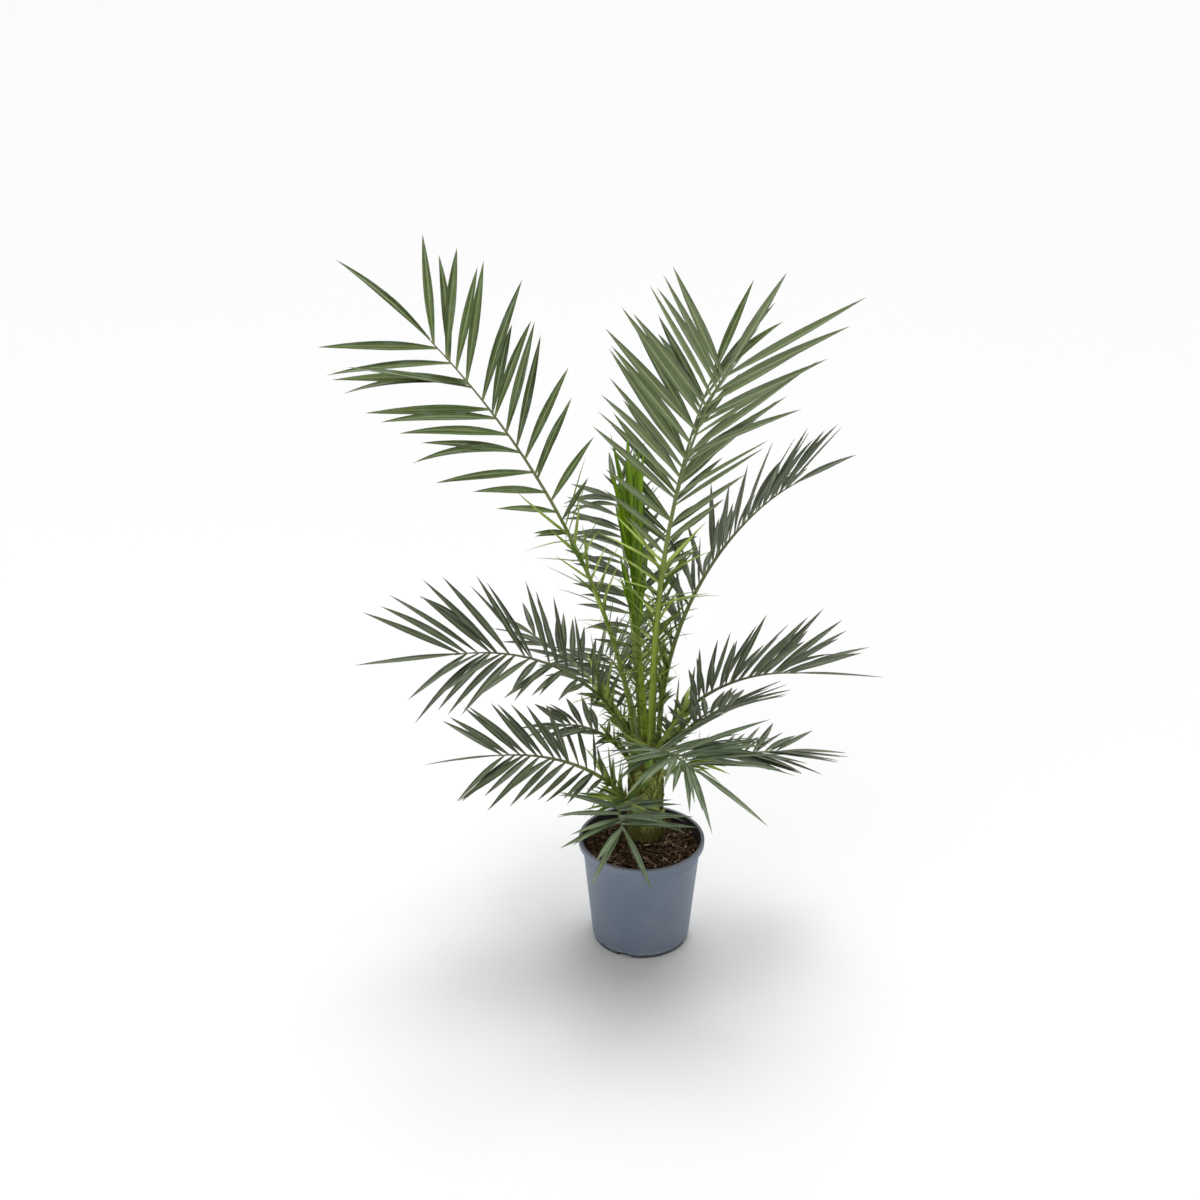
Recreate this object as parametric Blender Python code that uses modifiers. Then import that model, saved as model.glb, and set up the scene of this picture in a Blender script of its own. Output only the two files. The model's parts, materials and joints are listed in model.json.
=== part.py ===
"""Potted young Canary Island date palm: a nursery pot of soil, a short trunk and its fronds.

Metres, with +Z up. The origin is the centre of the pot's flat underside, and the plant is
seen in its photograph from -Y. Azimuths are measured from +X towards +Y.
"""
import itertools
import math
from collections import namedtuple

import bmesh
import bpy
import numpy as np
from mathutils import Vector
from mathutils.bvhtree import BVHTree

# Pot
POT_HEIGHT = 0.214
LIP_RADIUS = 0.1195
LIP_DEPTH = 0.0116
LIP_BEVEL = 0.0012
MOUTH_RADIUS = 0.1122
WALL_TOP_RADIUS = 0.1118
WALL_FOOT_RADIUS = 0.0935
WALL_THICKNESS = 0.0028
FLOOR_THICKNESS = 0.0030
INNER_FOOT_STEP = 0.0010
LIP_INNER_DROP = 0.0020
LIP_INNER_RISE = 0.0035
LIP_EDGE = 0.0006
LIP_FILLET = 0.0015
FOOT_BAND_HEIGHT = 0.0105
FOOT_BAND_RADIUS = 0.0905
FOOT_BAND_SLOPE = 0.0004
FOOT_BAND_STEP = 0.0010
FOOT_BAND_SHOULDER = 0.0008
FOOT_EDGE = 0.0010
POT_STEPS = 44
NOTCH_COUNT = 4
NOTCH_FIRST_ANGLE = -110.0
NOTCH_WIDTH = 0.0270
NOTCH_HEIGHT = 0.0085
NOTCH_DEPTH = 0.0060
NOTCH_OVERRUN = 0.0020
NOTCH_SLOPE_SHARE = 0.62
INNER_FOOT_RADIUS = WALL_FOOT_RADIUS - WALL_THICKNESS - INNER_FOOT_STEP
INNER_TOP_RADIUS = WALL_TOP_RADIUS - WALL_THICKNESS
INNER_TOP_HEIGHT = POT_HEIGHT - LIP_DEPTH - LIP_INNER_DROP

# Soil
SOIL_TOP = 0.1985
SOIL_FLAT_RADIUS = 0.055
SOIL_BEND = (0.085, 0.0012)
SOIL_EDGE_DROP = 0.0030
SOIL_EDGE_ROUNDING = 0.0010
SOIL_SIDE_GAP = 0.00033
SOIL_STEPS = 32
GAP = 0.0003

# Trunk: (height above the soil, radius)
TRUNK_AXIS = (0.008, 0.035)
TRUNK_RINGS = (
    (0.000, 0.0380),
    (0.010, 0.0345),
    (0.030, 0.0320),
    (0.060, 0.0315),
    (0.095, 0.0320),
    (0.125, 0.0320),
    (0.150, 0.0310),
    (0.172, 0.0280),
    (0.192, 0.0220),
    (0.205, 0.0130),
)
TRUNK_SIDES = 16
TRUNK_LOBE = 0.03
TRUNK_LOBE_COUNT = 5
TRUNK_LOBE_TURN = 0.7

# What the leaves of one kind share: leaflet width, angle to the rib at the first and the last
# leaflet, the foot's depth inside the trunk, colour
Habit = namedtuple("Habit", "width spread_foot spread_tip foot_depth colour")
HABITS = {
    "spear": Habit(0.013, 9, 5, 0.011, (0.060, 0.230, 0.015, 1.0)),
    "young": Habit(0.018, 58, 44, 0.004, (0.090, 0.160, 0.050, 1.0)),
    "old": Habit(0.013, 64, 34, 0.004, (0.055, 0.100, 0.055, 1.0)),
    "front": Habit(0.016, 85, 42, 0.004, (0.055, 0.100, 0.055, 1.0)),
}

# One row a frond: name, habit, azimuth, foot's height, rib length, climb at the foot and at the tip
# in degrees, power of the bend, sideways turn; then the bare share of the rib, leaflets a side,
# leaflet length, lift of both rows, roll of the blade, sag of a leaflet, seed.
Frond = namedtuple("Frond", "name habit azimuth foot_height length rise fall bend sweep petiole "
                   "pairs blade lift roll droop seed")
FRONDS = (
    Frond("frond_high_left", "young", 160, 0.385, 0.88, 84, 42, 0.9, 0, 0.50, 12, 0.235, 15, 48, 0.10, 1),
    Frond("frond_high_right", "young", 295, 0.380, 0.87, 90, 50, 1.5, 5, 0.46, 14, 0.24, 15, 25, 0.00, 2),
    Frond("frond_high_back", "young", 60, 0.370, 0.74, 90, 50, 1.6, -8, 0.42, 10, 0.20, 25, 10, 0.02, 3),
    Frond("spear", "spear", 115, 0.400, 0.42, 80, 82, 1.0, 0, 0.45, 10, 0.18, 5, 0, 0.00, 4),
    Frond("frond_upper_right", "old", 24, 0.360, 0.64, 90, 8, 1.5, 16, 0.28, 15, 0.17, 30, 50, 0.06, 25),
    Frond("frond_upper_back", "old", 100, 0.355, 0.58, 70, 15, 1.2, -5, 0.28, 10, 0.16, 10, 35, 0.08, 6),
    Frond("frond_middle_left", "old", 198, 0.365, 0.47, 82, 0, 0.9, 0, 0.34, 12, 0.185, 25, 38, 0.05, 7),
    Frond("frond_back_left", "old", 137, 0.375, 0.32, 65, 10, 0.6, 5, 0.20, 12, 0.10, 20, 10, 0.04, 8),
    Frond("frond_middle_right", "old", 348, 0.380, 0.34, 72, 2, 1.0, 0, 0.28, 14, 0.16, 45, 10, 0.05, 9),
    Frond("frond_front_right", "old", 325, 0.370, 0.22, 60, 30, 1.0, 5, 0.25, 11, 0.14, 15, 25, 0.05, 10),
    Frond("frond_front_low_right", "front", 278, 0.36, 0.21, 66, -15, 1, 40, 0.35, 9, 0.18, 20, 0, 0.08, 11),
    Frond("frond_inner_left", "old", 158, 0.340, 0.17, 70, -10, 0.8, 10, 0.40, 7, 0.09, 15, 10, 0.08, 12),
    Frond("frond_low_back", "old", 100, 0.300, 0.35, 60, -20, 1.3, 15, 0.22, 12, 0.16, 10, 15, 0.04, 13),
    Frond("frond_low_right", "old", 15, 0.325, 0.25, 15, -8, 1.0, 0, 0.30, 12, 0.14, 5, 5, 0.05, 14),
    Frond("frond_low_left", "old", 190, 0.265, 0.30, 62, 0, 0.8, 0, 0.22, 13, 0.14, 5, 45, 0.04, 15),
    Frond("frond_low_front", "front", 236, 0.285, 0.16, 35, -15, 1.0, 55, 0.40, 7, 0.16, 30, 0, 0.05, 16),
)

# Fronds: shape along the rib
RIB_STEPS = 48
SWEEP_POWER = 1.5
RIB_STATIONS = (0.0, 0.03, 0.07, 0.13, 0.20, 0.28, 0.37, 0.46, 0.56, 0.66, 0.77, 0.88, 1.0)
RIB_FOOT_HALF_WIDTH = 0.0065
RIB_TIP_HALF_WIDTH = 0.0014
RIB_TAPER_POWER = 1.1
RIB_DEPTH_SHARE = 0.75
# The rib's section, anticlockwise from its right upper edge: (share of half width, share of depth)
RIB_SECTION = ((1.0, 0.45), (-1.0, 0.45), (-0.75, -0.55), (0.0, -1.0), (0.75, -0.55))

# Fronds: leaflets
ROW_STAGGER = 0.5
PLACE_JITTER = 0.30
PLACE_END = 0.1
# Below one, the leaflets crowd towards the tip
PLACE_POWER = 0.85
SPREAD_JITTER = 6.0
ROW_JITTER = 12.0
LENGTH_JITTER = 0.10
DROOP_JITTER = 0.5
TWIST_JITTER = 25.0
END_LEAFLET_SPREAD = 3.0
LAST_ROOT_SHARE = 0.985
LENGTH_PROFILE = ((0.0, 0.30), (0.15, 0.62), (0.40, 0.90), (0.70, 1.0), (1.0, 1.0))
# (share of the leaflet's length, share of its full width)
LEAFLET_STATIONS = ((0.0, 0.24), (0.27, 0.86), (0.62, 0.88))
LEAFLET_DEPTH_OF_WIDTH = 0.16
LEAFLET_DEPTH_OF_LENGTH = 0.012
SPINES_A_SIDE = 2
SPINE_SHARES = (0.45, 0.95)
SPINE_STAGGER = 0.03
SPINE_LENGTHS = (0.020, 0.055)
SPINE_WIDTH = 0.0034
SPINE_SPREAD = 48.0
SPINE_LIFT = 20.0

# Joining
WELD_DISTANCE = 0.00005
CLEAN_DISTANCE = 0.000002
SOLVERS = ("EXACT", "MANIFOLD")
ATTEMPTS = 6
ROOT_SHIFT = 0.003
CLEARANCE = 0.0010
# Turns tried, in order, for a leaflet that would meet another part: degrees of roll, degrees of
# spread, share of its length
NUDGES = ((0, 0, 1.0), (9, 0, 1.0), (-9, 0, 1.0), (0, 9, 1.0), (0, -9, 1.0), (16, 5, 1.0), (-16, -5, 1.0),
          (16, -8, 0.9), (-16, 8, 0.9), (26, 0, 0.9), (-26, 0, 0.9), (12, 14, 0.8), (-12, -14, 0.8),
          (0, 0, 0.7), (20, 0, 0.6), (-20, 0, 0.6), (0, 0, 0.45))

POT_COLOUR = (0.135, 0.165, 0.205, 1.0)
SOIL_COLOUR = (0.035, 0.020, 0.012, 1.0)
TRUNK_COLOUR = (0.115, 0.120, 0.035, 1.0)
POT_ROUGHNESS = 0.45
SOIL_ROUGHNESS = 0.95
TRUNK_ROUGHNESS = 0.85
LEAF_ROUGHNESS = 0.50


def clear_scene():
    """Remove every object the session starts with."""
    for obj in list(bpy.data.objects):
        bpy.data.objects.remove(obj, do_unlink=True)


def new_collection(name, hidden=False):
    """Return a collection of that name linked to the scene."""
    group = bpy.data.collections.new(name)
    bpy.context.scene.collection.children.link(group)
    group.hide_render = hidden
    return group


def material(name, colour, roughness):
    """Return a plain Principled material."""
    mat = bpy.data.materials.new(name)
    mat.use_nodes = True
    shader = mat.node_tree.nodes["Principled BSDF"]
    shader.inputs["Base Color"].default_value = colour
    shader.inputs["Roughness"].default_value = roughness
    shader.inputs["Metallic"].default_value = 0.0
    return mat


def add_mesh(name, verts, faces, group, mat=None):
    """Return an object made of those vertices and faces, turned to face outwards."""
    mesh = bpy.data.meshes.new(name)
    mesh.from_pydata([tuple(float(c) for c in v) for v in verts], [], faces)
    work = bmesh.new()
    work.from_mesh(mesh)
    bmesh.ops.recalc_face_normals(work, faces=work.faces)
    work.to_mesh(mesh)
    work.free()
    obj = bpy.data.objects.new(name, mesh)
    group.objects.link(obj)
    if mat:
        mesh.materials.append(mat)
    return obj


def apply_modifiers(obj):
    """Replace the object's mesh by what its modifiers make of it."""
    depsgraph = bpy.context.evaluated_depsgraph_get()
    mesh = bpy.data.meshes.new_from_object(obj.evaluated_get(depsgraph))
    obj.modifiers.clear()
    obj.data = mesh


def lathe(name, profile, steps, group, mat):
    """Return the solid swept by an open (radius, height) profile that starts and ends on the axis."""
    mesh = bpy.data.meshes.new(name)
    verts = [(radius, 0.0, height) for radius, height in profile]
    mesh.from_pydata(verts, [(i, i + 1) for i in range(len(verts) - 1)], [])
    obj = bpy.data.objects.new(name, mesh)
    group.objects.link(obj)
    screw = obj.modifiers.new("Screw", "SCREW")
    screw.angle = 2 * math.pi
    screw.steps = steps
    screw.render_steps = steps
    screw.use_merge_vertices = True
    screw.merge_threshold = WELD_DISTANCE
    screw.use_smooth_shade = True
    screw.use_normal_calculate = True
    apply_modifiers(obj)
    work = bmesh.new()
    work.from_mesh(obj.data)
    bmesh.ops.remove_doubles(work, verts=work.verts, dist=WELD_DISTANCE)
    bmesh.ops.recalc_face_normals(work, faces=work.faces)
    work.to_mesh(obj.data)
    work.free()
    obj.data.materials.clear()
    obj.data.materials.append(mat)
    return obj


def boolean(obj, operation, solver, operand=None, collection=None):
    """Apply one Boolean modifier with an object or a whole collection as its operand."""
    cut = obj.modifiers.new("Boolean", "BOOLEAN")
    cut.operation = operation
    cut.solver = solver
    if collection:
        cut.operand_type = "COLLECTION"
        cut.collection = collection
    else:
        cut.object = operand
    apply_modifiers(obj)


def drop_collection(group):
    """Remove a working collection and its objects."""
    for obj in list(group.objects):
        bpy.data.objects.remove(obj, do_unlink=True)
    bpy.data.collections.remove(group)


def keep_largest_piece(obj):
    """Delete every separate shell of the mesh but the one with the most faces."""
    work = bmesh.new()
    work.from_mesh(obj.data)
    bmesh.ops.remove_doubles(work, verts=work.verts, dist=CLEAN_DISTANCE)
    left = set(work.faces)
    shells = []
    while left:
        shell = {left.pop()}
        unread = list(shell)
        while unread:
            for edge in unread.pop().edges:
                fresh = left.intersection(edge.link_faces)
                left -= fresh
                shell |= fresh
                unread += fresh
        shells.append(shell)
    shells.sort(key=len)
    for shell in shells[:-1]:
        bmesh.ops.delete(work, geom=list(shell), context="FACES")
    bmesh.ops.delete(work, geom=[v for v in work.verts if not v.link_faces], context="VERTS")
    bmesh.ops.dissolve_degenerate(work, edges=work.edges, dist=CLEAN_DISTANCE)
    bmesh.ops.triangulate(work, faces=work.faces)
    work.to_mesh(obj.data)
    work.free()


def pot_profile():
    """Return the pot's (radius, height) outline: inner floor, mouth, lip, wall and underside."""
    lip_foot = POT_HEIGHT - LIP_DEPTH
    return [
        (0.0, FLOOR_THICKNESS),
        (INNER_FOOT_RADIUS, FLOOR_THICKNESS),
        (INNER_TOP_RADIUS, INNER_TOP_HEIGHT),
        (MOUTH_RADIUS, lip_foot + LIP_INNER_RISE),
        (MOUTH_RADIUS, POT_HEIGHT - LIP_BEVEL),
        (MOUTH_RADIUS + LIP_BEVEL, POT_HEIGHT),
        (LIP_RADIUS - LIP_BEVEL, POT_HEIGHT),
        (LIP_RADIUS, POT_HEIGHT - LIP_BEVEL),
        (LIP_RADIUS, lip_foot + LIP_EDGE),
        (LIP_RADIUS - LIP_EDGE, lip_foot),
        (WALL_TOP_RADIUS + LIP_FILLET, lip_foot),
        (WALL_TOP_RADIUS, lip_foot - LIP_FILLET),
        (WALL_FOOT_RADIUS, FOOT_BAND_HEIGHT + FOOT_BAND_SHOULDER),
        (WALL_FOOT_RADIUS - FOOT_BAND_STEP, FOOT_BAND_HEIGHT),
        (FOOT_BAND_RADIUS + FOOT_BAND_SLOPE, FOOT_EDGE),
        (FOOT_BAND_RADIUS - FOOT_EDGE, 0.0),
        (0.0, 0.0),
    ]


def inner_wall_radius(height):
    """Return the radius of the pot's inner wall at a height."""
    share = (height - FLOOR_THICKNESS) / (INNER_TOP_HEIGHT - FLOOR_THICKNESS)
    return INNER_FOOT_RADIUS + share * (INNER_TOP_RADIUS - INNER_FOOT_RADIUS)


def add_notch(angle, group):
    """Add one notch's cutter: an outline with one sloping end, extruded through the foot band."""
    half = NOTCH_WIDTH / 2
    outline = ((-half, -NOTCH_OVERRUN), (half, -NOTCH_OVERRUN), (half * NOTCH_SLOPE_SHARE, NOTCH_HEIGHT),
               (-half, NOTCH_HEIGHT))
    curve = bpy.data.curves.new("notch", "CURVE")
    curve.dimensions = "2D"
    curve.fill_mode = "BOTH"
    curve.extrude = NOTCH_DEPTH
    spline = curve.splines.new("POLY")
    spline.points.add(len(outline) - 1)
    spline.use_cyclic_u = True
    for point, (across, height) in zip(spline.points, outline):
        point.co = (across, height, 0.0, 1.0)
    notch = bpy.data.objects.new("notch", curve)
    group.objects.link(notch)
    depsgraph = bpy.context.evaluated_depsgraph_get()
    mesh = bpy.data.meshes.new_from_object(notch.evaluated_get(depsgraph))
    bpy.data.objects.remove(notch, do_unlink=True)
    work = bmesh.new()
    work.from_mesh(mesh)
    bmesh.ops.remove_doubles(work, verts=work.verts, dist=WELD_DISTANCE)
    work.to_mesh(mesh)
    work.free()
    cutter = bpy.data.objects.new("notch", mesh)
    group.objects.link(cutter)
    cutter.location = (FOOT_BAND_RADIUS * math.cos(angle), FOOT_BAND_RADIUS * math.sin(angle), 0.0)
    cutter.rotation_euler = (math.pi / 2, 0.0, angle + math.pi / 2)
    cutter.display_type = "WIRE"
    cutter.hide_render = True


def build_pot(group, mat):
    """Return the pot with its drainage notches."""
    pot = lathe("pot", pot_profile(), POT_STEPS, group, mat)
    notches = new_collection("notches", hidden=True)
    for index in range(NOTCH_COUNT):
        add_notch(math.radians(NOTCH_FIRST_ANGLE + 360.0 * index / NOTCH_COUNT), notches)
    bpy.context.view_layer.update()
    boolean(pot, "DIFFERENCE", "EXACT", collection=notches)
    drop_collection(notches)
    keep_largest_piece(pot)
    return pot


def build_soil(group, mat):
    """Return the soil that fills the pot, a little lower at the wall than at the trunk."""
    floor = FLOOR_THICKNESS + GAP
    edge = SOIL_TOP - SOIL_EDGE_DROP
    shoulder = edge - SOIL_EDGE_ROUNDING
    profile = [
        (0.0, SOIL_TOP),
        (SOIL_FLAT_RADIUS, SOIL_TOP),
        (SOIL_BEND[0], SOIL_TOP - SOIL_BEND[1]),
        (inner_wall_radius(edge) - SOIL_SIDE_GAP - SOIL_EDGE_ROUNDING, edge),
        (inner_wall_radius(shoulder) - SOIL_SIDE_GAP, shoulder),
        (inner_wall_radius(floor) - SOIL_SIDE_GAP, floor),
        (0.0, floor),
    ]
    return lathe("soil", profile, SOIL_STEPS, group, mat)


def trunk_shape(extra):
    """Return vertices and faces of the trunk, every ring grown by extra and both ends moved out."""
    verts = []
    faces = []
    last = len(TRUNK_RINGS) - 1
    for row, (height, radius) in enumerate(TRUNK_RINGS):
        shift = {0: -extra, last: extra}.get(row, 0.0)
        for col in range(TRUNK_SIDES):
            angle = 2 * math.pi * col / TRUNK_SIDES
            lobes = 1 + TRUNK_LOBE * math.sin(TRUNK_LOBE_COUNT * angle + TRUNK_LOBE_TURN * row)
            reach = radius * lobes + extra
            verts.append((TRUNK_AXIS[0] + reach * math.cos(angle),
                          TRUNK_AXIS[1] + reach * math.sin(angle),
                          SOIL_TOP + GAP + height + shift))
    for row in range(last):
        for col in range(TRUNK_SIDES):
            right = (col + 1) % TRUNK_SIDES
            here = row * TRUNK_SIDES
            above = here + TRUNK_SIDES
            faces.append((here + col, here + right, above + right))
            faces.append((here + col, above + right, above + col))
    faces.append(tuple(reversed(range(TRUNK_SIDES))))
    faces.append(tuple(last * TRUNK_SIDES + col for col in range(TRUNK_SIDES)))
    return verts, faces


def trunk_radius(height):
    """Return the trunk's middle radius at a height over the floor."""
    return float(np.interp(height - SOIL_TOP - GAP, *zip(*TRUNK_RINGS)))


def unit(vectors):
    """Return the vectors at length one."""
    return vectors / np.linalg.norm(vectors, axis=-1, keepdims=True)


def rib_path(frond):
    """Return points, directions, sideways and upward axes along the rib, from foot to tip."""
    middles = (np.arange(RIB_STEPS) + 0.5) / RIB_STEPS
    climb = np.radians(frond.rise + (frond.fall - frond.rise) * middles ** frond.bend)
    turn = np.radians(frond.azimuth + frond.sweep * middles ** SWEEP_POWER)
    step = np.stack([np.cos(climb) * np.cos(turn), np.cos(climb) * np.sin(turn), np.sin(climb)], axis=1)
    heading = math.radians(frond.azimuth)
    foot_out = trunk_radius(frond.foot_height) - HABITS[frond.habit].foot_depth
    foot = np.array([TRUNK_AXIS[0] + foot_out * math.cos(heading),
                     TRUNK_AXIS[1] + foot_out * math.sin(heading), frond.foot_height])
    points = np.vstack([foot, foot + np.cumsum(step, axis=0) * frond.length / RIB_STEPS])
    along = unit(np.gradient(points, axis=0))
    turn = np.radians(frond.azimuth + frond.sweep * np.linspace(0, 1, RIB_STEPS + 1) ** SWEEP_POWER)
    side = np.stack([np.sin(turn), -np.cos(turn), np.zeros_like(turn)], axis=1)
    return points, along, side, np.cross(side, along)


def sample(values, shares):
    """Return the values along the rib at those shares of its length."""
    place = np.clip(shares, 0, 1) * RIB_STEPS
    low = np.minimum(place.astype(int), RIB_STEPS - 1)
    part = (place - low)[:, None]
    return values[low] * (1 - part) + values[low + 1] * part


def leaflet_sections(root, aim, broad, keel, length, width, droop):
    """Return the three-sided sections and the tip of each leaflet."""
    rings = []
    depth = np.maximum(width * LEAFLET_DEPTH_OF_WIDTH, length * LEAFLET_DEPTH_OF_LENGTH)
    for share, size in LEAFLET_STATIONS:
        middle = root + aim * (length * share)[:, None]
        middle[:, 2] -= droop * length * share * share
        edge = broad * (width * size / 2)[:, None]
        rings.append((middle + edge, middle - edge, middle + keel * (depth * size)[:, None]))
    tip = root + aim * length[:, None]
    tip[:, 2] -= droop * length
    return rings, tip


def leaflets(frond, nudges, grow=0.0):
    """Return (vertices, faces) of every leaflet of a frond, in two rows and one at the rib's end.

    Each row of nudges is one of NUDGES, and grow is added all round.
    """
    habit = HABITS[frond.habit]
    points, along, side, up = rib_path(frond)
    count = 2 * frond.pairs + 1
    dice = np.random.RandomState(frond.seed).uniform(-1, 1, (count, 6))
    place_dice, spread_dice, row_dice, length_dice, droop_dice, twist_dice = dice.T
    hand = np.array([1.0, -1.0] * frond.pairs + [0.0])
    pair = np.append(np.repeat(np.arange(frond.pairs), 2), frond.pairs)
    place = (pair + ROW_STAGGER * (hand > 0) + PLACE_JITTER * place_dice) / (frond.pairs - PLACE_END)
    place[-1] = 1.0
    place = np.clip(place, 0, 1) ** PLACE_POWER
    share = frond.petiole + (LAST_ROOT_SHARE - frond.petiole) * place
    root = sample(points, share)
    forward = unit(sample(along, share))
    across = sample(side, share)
    above = sample(up, share)
    spread = habit.spread_foot + (habit.spread_tip - habit.spread_foot) * place
    spread += SPREAD_JITTER * spread_dice
    spread[-1] = END_LEAFLET_SPREAD
    tilt = frond.lift + hand * frond.roll + ROW_JITTER * row_dice
    spread = np.radians(spread + nudges[:, 1])[:, None]
    tilt = np.radians(tilt + nudges[:, 0])[:, None]
    sideways = hand[:, None] * np.cos(tilt) * across + np.sin(tilt) * above
    aim = unit(np.cos(spread) * forward + np.sin(spread) * sideways)
    length = frond.blade * np.interp(place, *zip(*LENGTH_PROFILE)) * (1 + LENGTH_JITTER * length_dice)
    length[-1] = frond.blade
    length = length * nudges[:, 2]
    droop = frond.droop * (1 + DROOP_JITTER * droop_dice)
    flat = forward - (forward * aim).sum(1)[:, None] * aim
    flat[-1] = across[-1]
    flat = unit(flat)
    keel = np.cross(aim, flat)
    keel *= np.where((keel * above).sum(1) > 0, -1, 1)[:, None]
    twist = np.radians(TWIST_JITTER * twist_dice)[:, None]
    broad = np.cos(twist) * flat + np.sin(twist) * keel
    keel = np.cos(twist) * keel - np.sin(twist) * flat
    width = np.full(count, habit.width) * np.sqrt(length / length.max()) + 2 * grow
    rings, tip = leaflet_sections(root - keel * grow, aim, broad, keel, length + grow, width, droop)
    return [leaflet_mesh([ring_part[i] for ring in rings for ring_part in ring], tip[i])
            for i in range(count)]


def leaflet_mesh(corners, tip):
    """Return vertices and faces of one leaflet from its three-sided sections and its tip."""
    rows = len(corners) // 3
    faces = [(0, 1, 2)]
    for row in range(rows - 1):
        for col in range(3):
            here = 3 * row + col
            right = 3 * row + (col + 1) % 3
            faces.append((here, right, right + 3))
            faces.append((here, right + 3, here + 3))
    last = 3 * (rows - 1)
    faces += [(last + col, last + (col + 1) % 3, len(corners)) for col in range(3)]
    return [*corners, tip], faces


def spines(frond):
    """Return (vertices, faces) of the short spines between the foot and the first leaflets."""
    path = rib_path(frond)
    spread = math.radians(SPINE_SPREAD)
    lift = math.radians(SPINE_LIFT)
    made = []
    for rise, hand in itertools.product(np.linspace(0, 1, SPINES_A_SIDE), (1, -1)):
        share = np.interp(rise, (0, 1), SPINE_SHARES) - SPINE_STAGGER * (hand > 0)
        place = np.array([frond.petiole * share])
        root, forward, across, above = (sample(values, place)[0] for values in path)
        sideways = hand * math.cos(lift) * across + math.sin(lift) * above
        aim = math.cos(spread) * forward + math.sin(spread) * sideways
        half = SPINE_WIDTH / 2
        ring = [root + across * half, root - across * half, root - above * half]
        tip = root + aim * np.interp(rise, (0, 1), SPINE_LENGTHS)
        made.append(([*ring, tip], [(0, 1, 2), (0, 1, 3), (1, 2, 3), (2, 0, 3)]))
    return made


def rib_shape(frond):
    """Return vertices and faces of the rib: a tapering bar with a flat top and a keel below."""
    points, _, side, up = rib_path(frond)
    shares = np.array(RIB_STATIONS)
    middle = sample(points, shares)
    across = sample(side, shares)
    above = unit(sample(up, shares))
    half = RIB_FOOT_HALF_WIDTH * (1 - shares) ** RIB_TAPER_POWER + RIB_TIP_HALF_WIDTH
    depth = half * RIB_DEPTH_SHARE
    verts = [middle[row] + across[row] * half[row] * out + above[row] * depth[row] * rise
             for row in range(len(shares)) for out, rise in RIB_SECTION]
    sides = len(RIB_SECTION)
    last = sides * (len(shares) - 1)
    faces = [tuple(reversed(range(sides))), tuple(range(last, last + sides))]
    for row, col in itertools.product(range(len(shares) - 1), range(sides)):
        here = sides * row + col
        right = sides * row + (col + 1) % sides
        faces.append((here, right, right + sides, here + sides))
    return verts, faces


def tree_of(verts, faces):
    """Return a search tree over one shape."""
    return BVHTree.FromPolygons([Vector(v) for v in verts], faces)


def tree_of_object(obj):
    """Return a search tree over an object's mesh."""
    return tree_of([v.co for v in obj.data.vertices], [tuple(p.vertices) for p in obj.data.polygons])


def meets(shape, obstacles):
    """Tell whether a shape's surface crosses that of an obstacle."""
    tree = tree_of(*shape)
    return any(tree.overlap(obstacle) for obstacle in obstacles)


def clear_leaflets(frond, obstacles):
    """Return the frond's leaflets turned clear of the obstacles, without those that can't be."""
    choice = np.zeros(2 * frond.pairs + 1, dtype=int)
    for _ in range(len(NUDGES)):
        nudges = np.array([NUDGES[c] for c in choice], dtype=float)
        shapes = leaflets(frond, nudges)
        met = [meets(shape, obstacles) or meets(wide, obstacles)
               for shape, wide in zip(shapes, leaflets(frond, nudges, CLEARANCE))]
        if not any(met):
            break
        choice = np.minimum(choice + np.array(met), len(NUDGES) - 1)
    return [shape for shape, bad in zip(shapes, met) if not bad]


def is_closed(obj):
    """Tell whether every edge of the mesh lies between exactly two faces."""
    work = bmesh.new()
    work.from_mesh(obj.data)
    closed = len(work.faces) > 0 and all(len(edge.link_faces) == 2 for edge in work.edges)
    work.free()
    return closed


def fuse_frond(frond, shapes, group, cutter, mat, solver):
    """Return the rib joined with its shapes by one solver, its foot cut clear of the trunk.

    The join fills any sealed hollow, and a loose scrap is dropped.
    """
    rib = add_mesh(frond.name, *rib_shape(frond), group, mat)
    pieces = new_collection(frond.name + "_pieces", hidden=True)
    for index, shape in enumerate(shapes):
        add_mesh(f"{frond.name}_piece_{index}", *shape, pieces)
    boolean(rib, "UNION", solver, collection=pieces)
    drop_collection(pieces)
    boolean(rib, "DIFFERENCE", solver, operand=cutter)
    keep_largest_piece(rib)
    rib.data.materials.clear()
    rib.data.materials.append(mat)
    return rib


def build_frond(frond, group, obstacles, cutter, mat):
    """Build one frond, and return search trees over its leaflets and spines.

    Where a join isn't closed, the other solver is tried, then leaflets rooted a little further on.
    """
    for attempt, solver in itertools.product(range(ATTEMPTS), SOLVERS):
        moved = frond._replace(petiole=frond.petiole + ROOT_SHIFT * attempt)
        shapes = clear_leaflets(moved, obstacles)
        shapes += [shape for shape in spines(frond) if not meets(shape, obstacles)]
        rib = fuse_frond(frond, shapes, group, cutter, mat, solver)
        if is_closed(rib):
            return [tree_of(*shape) for shape in shapes]
        bpy.data.objects.remove(rib, do_unlink=True)
    raise RuntimeError(f"{frond.name} doesn't close")


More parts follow.
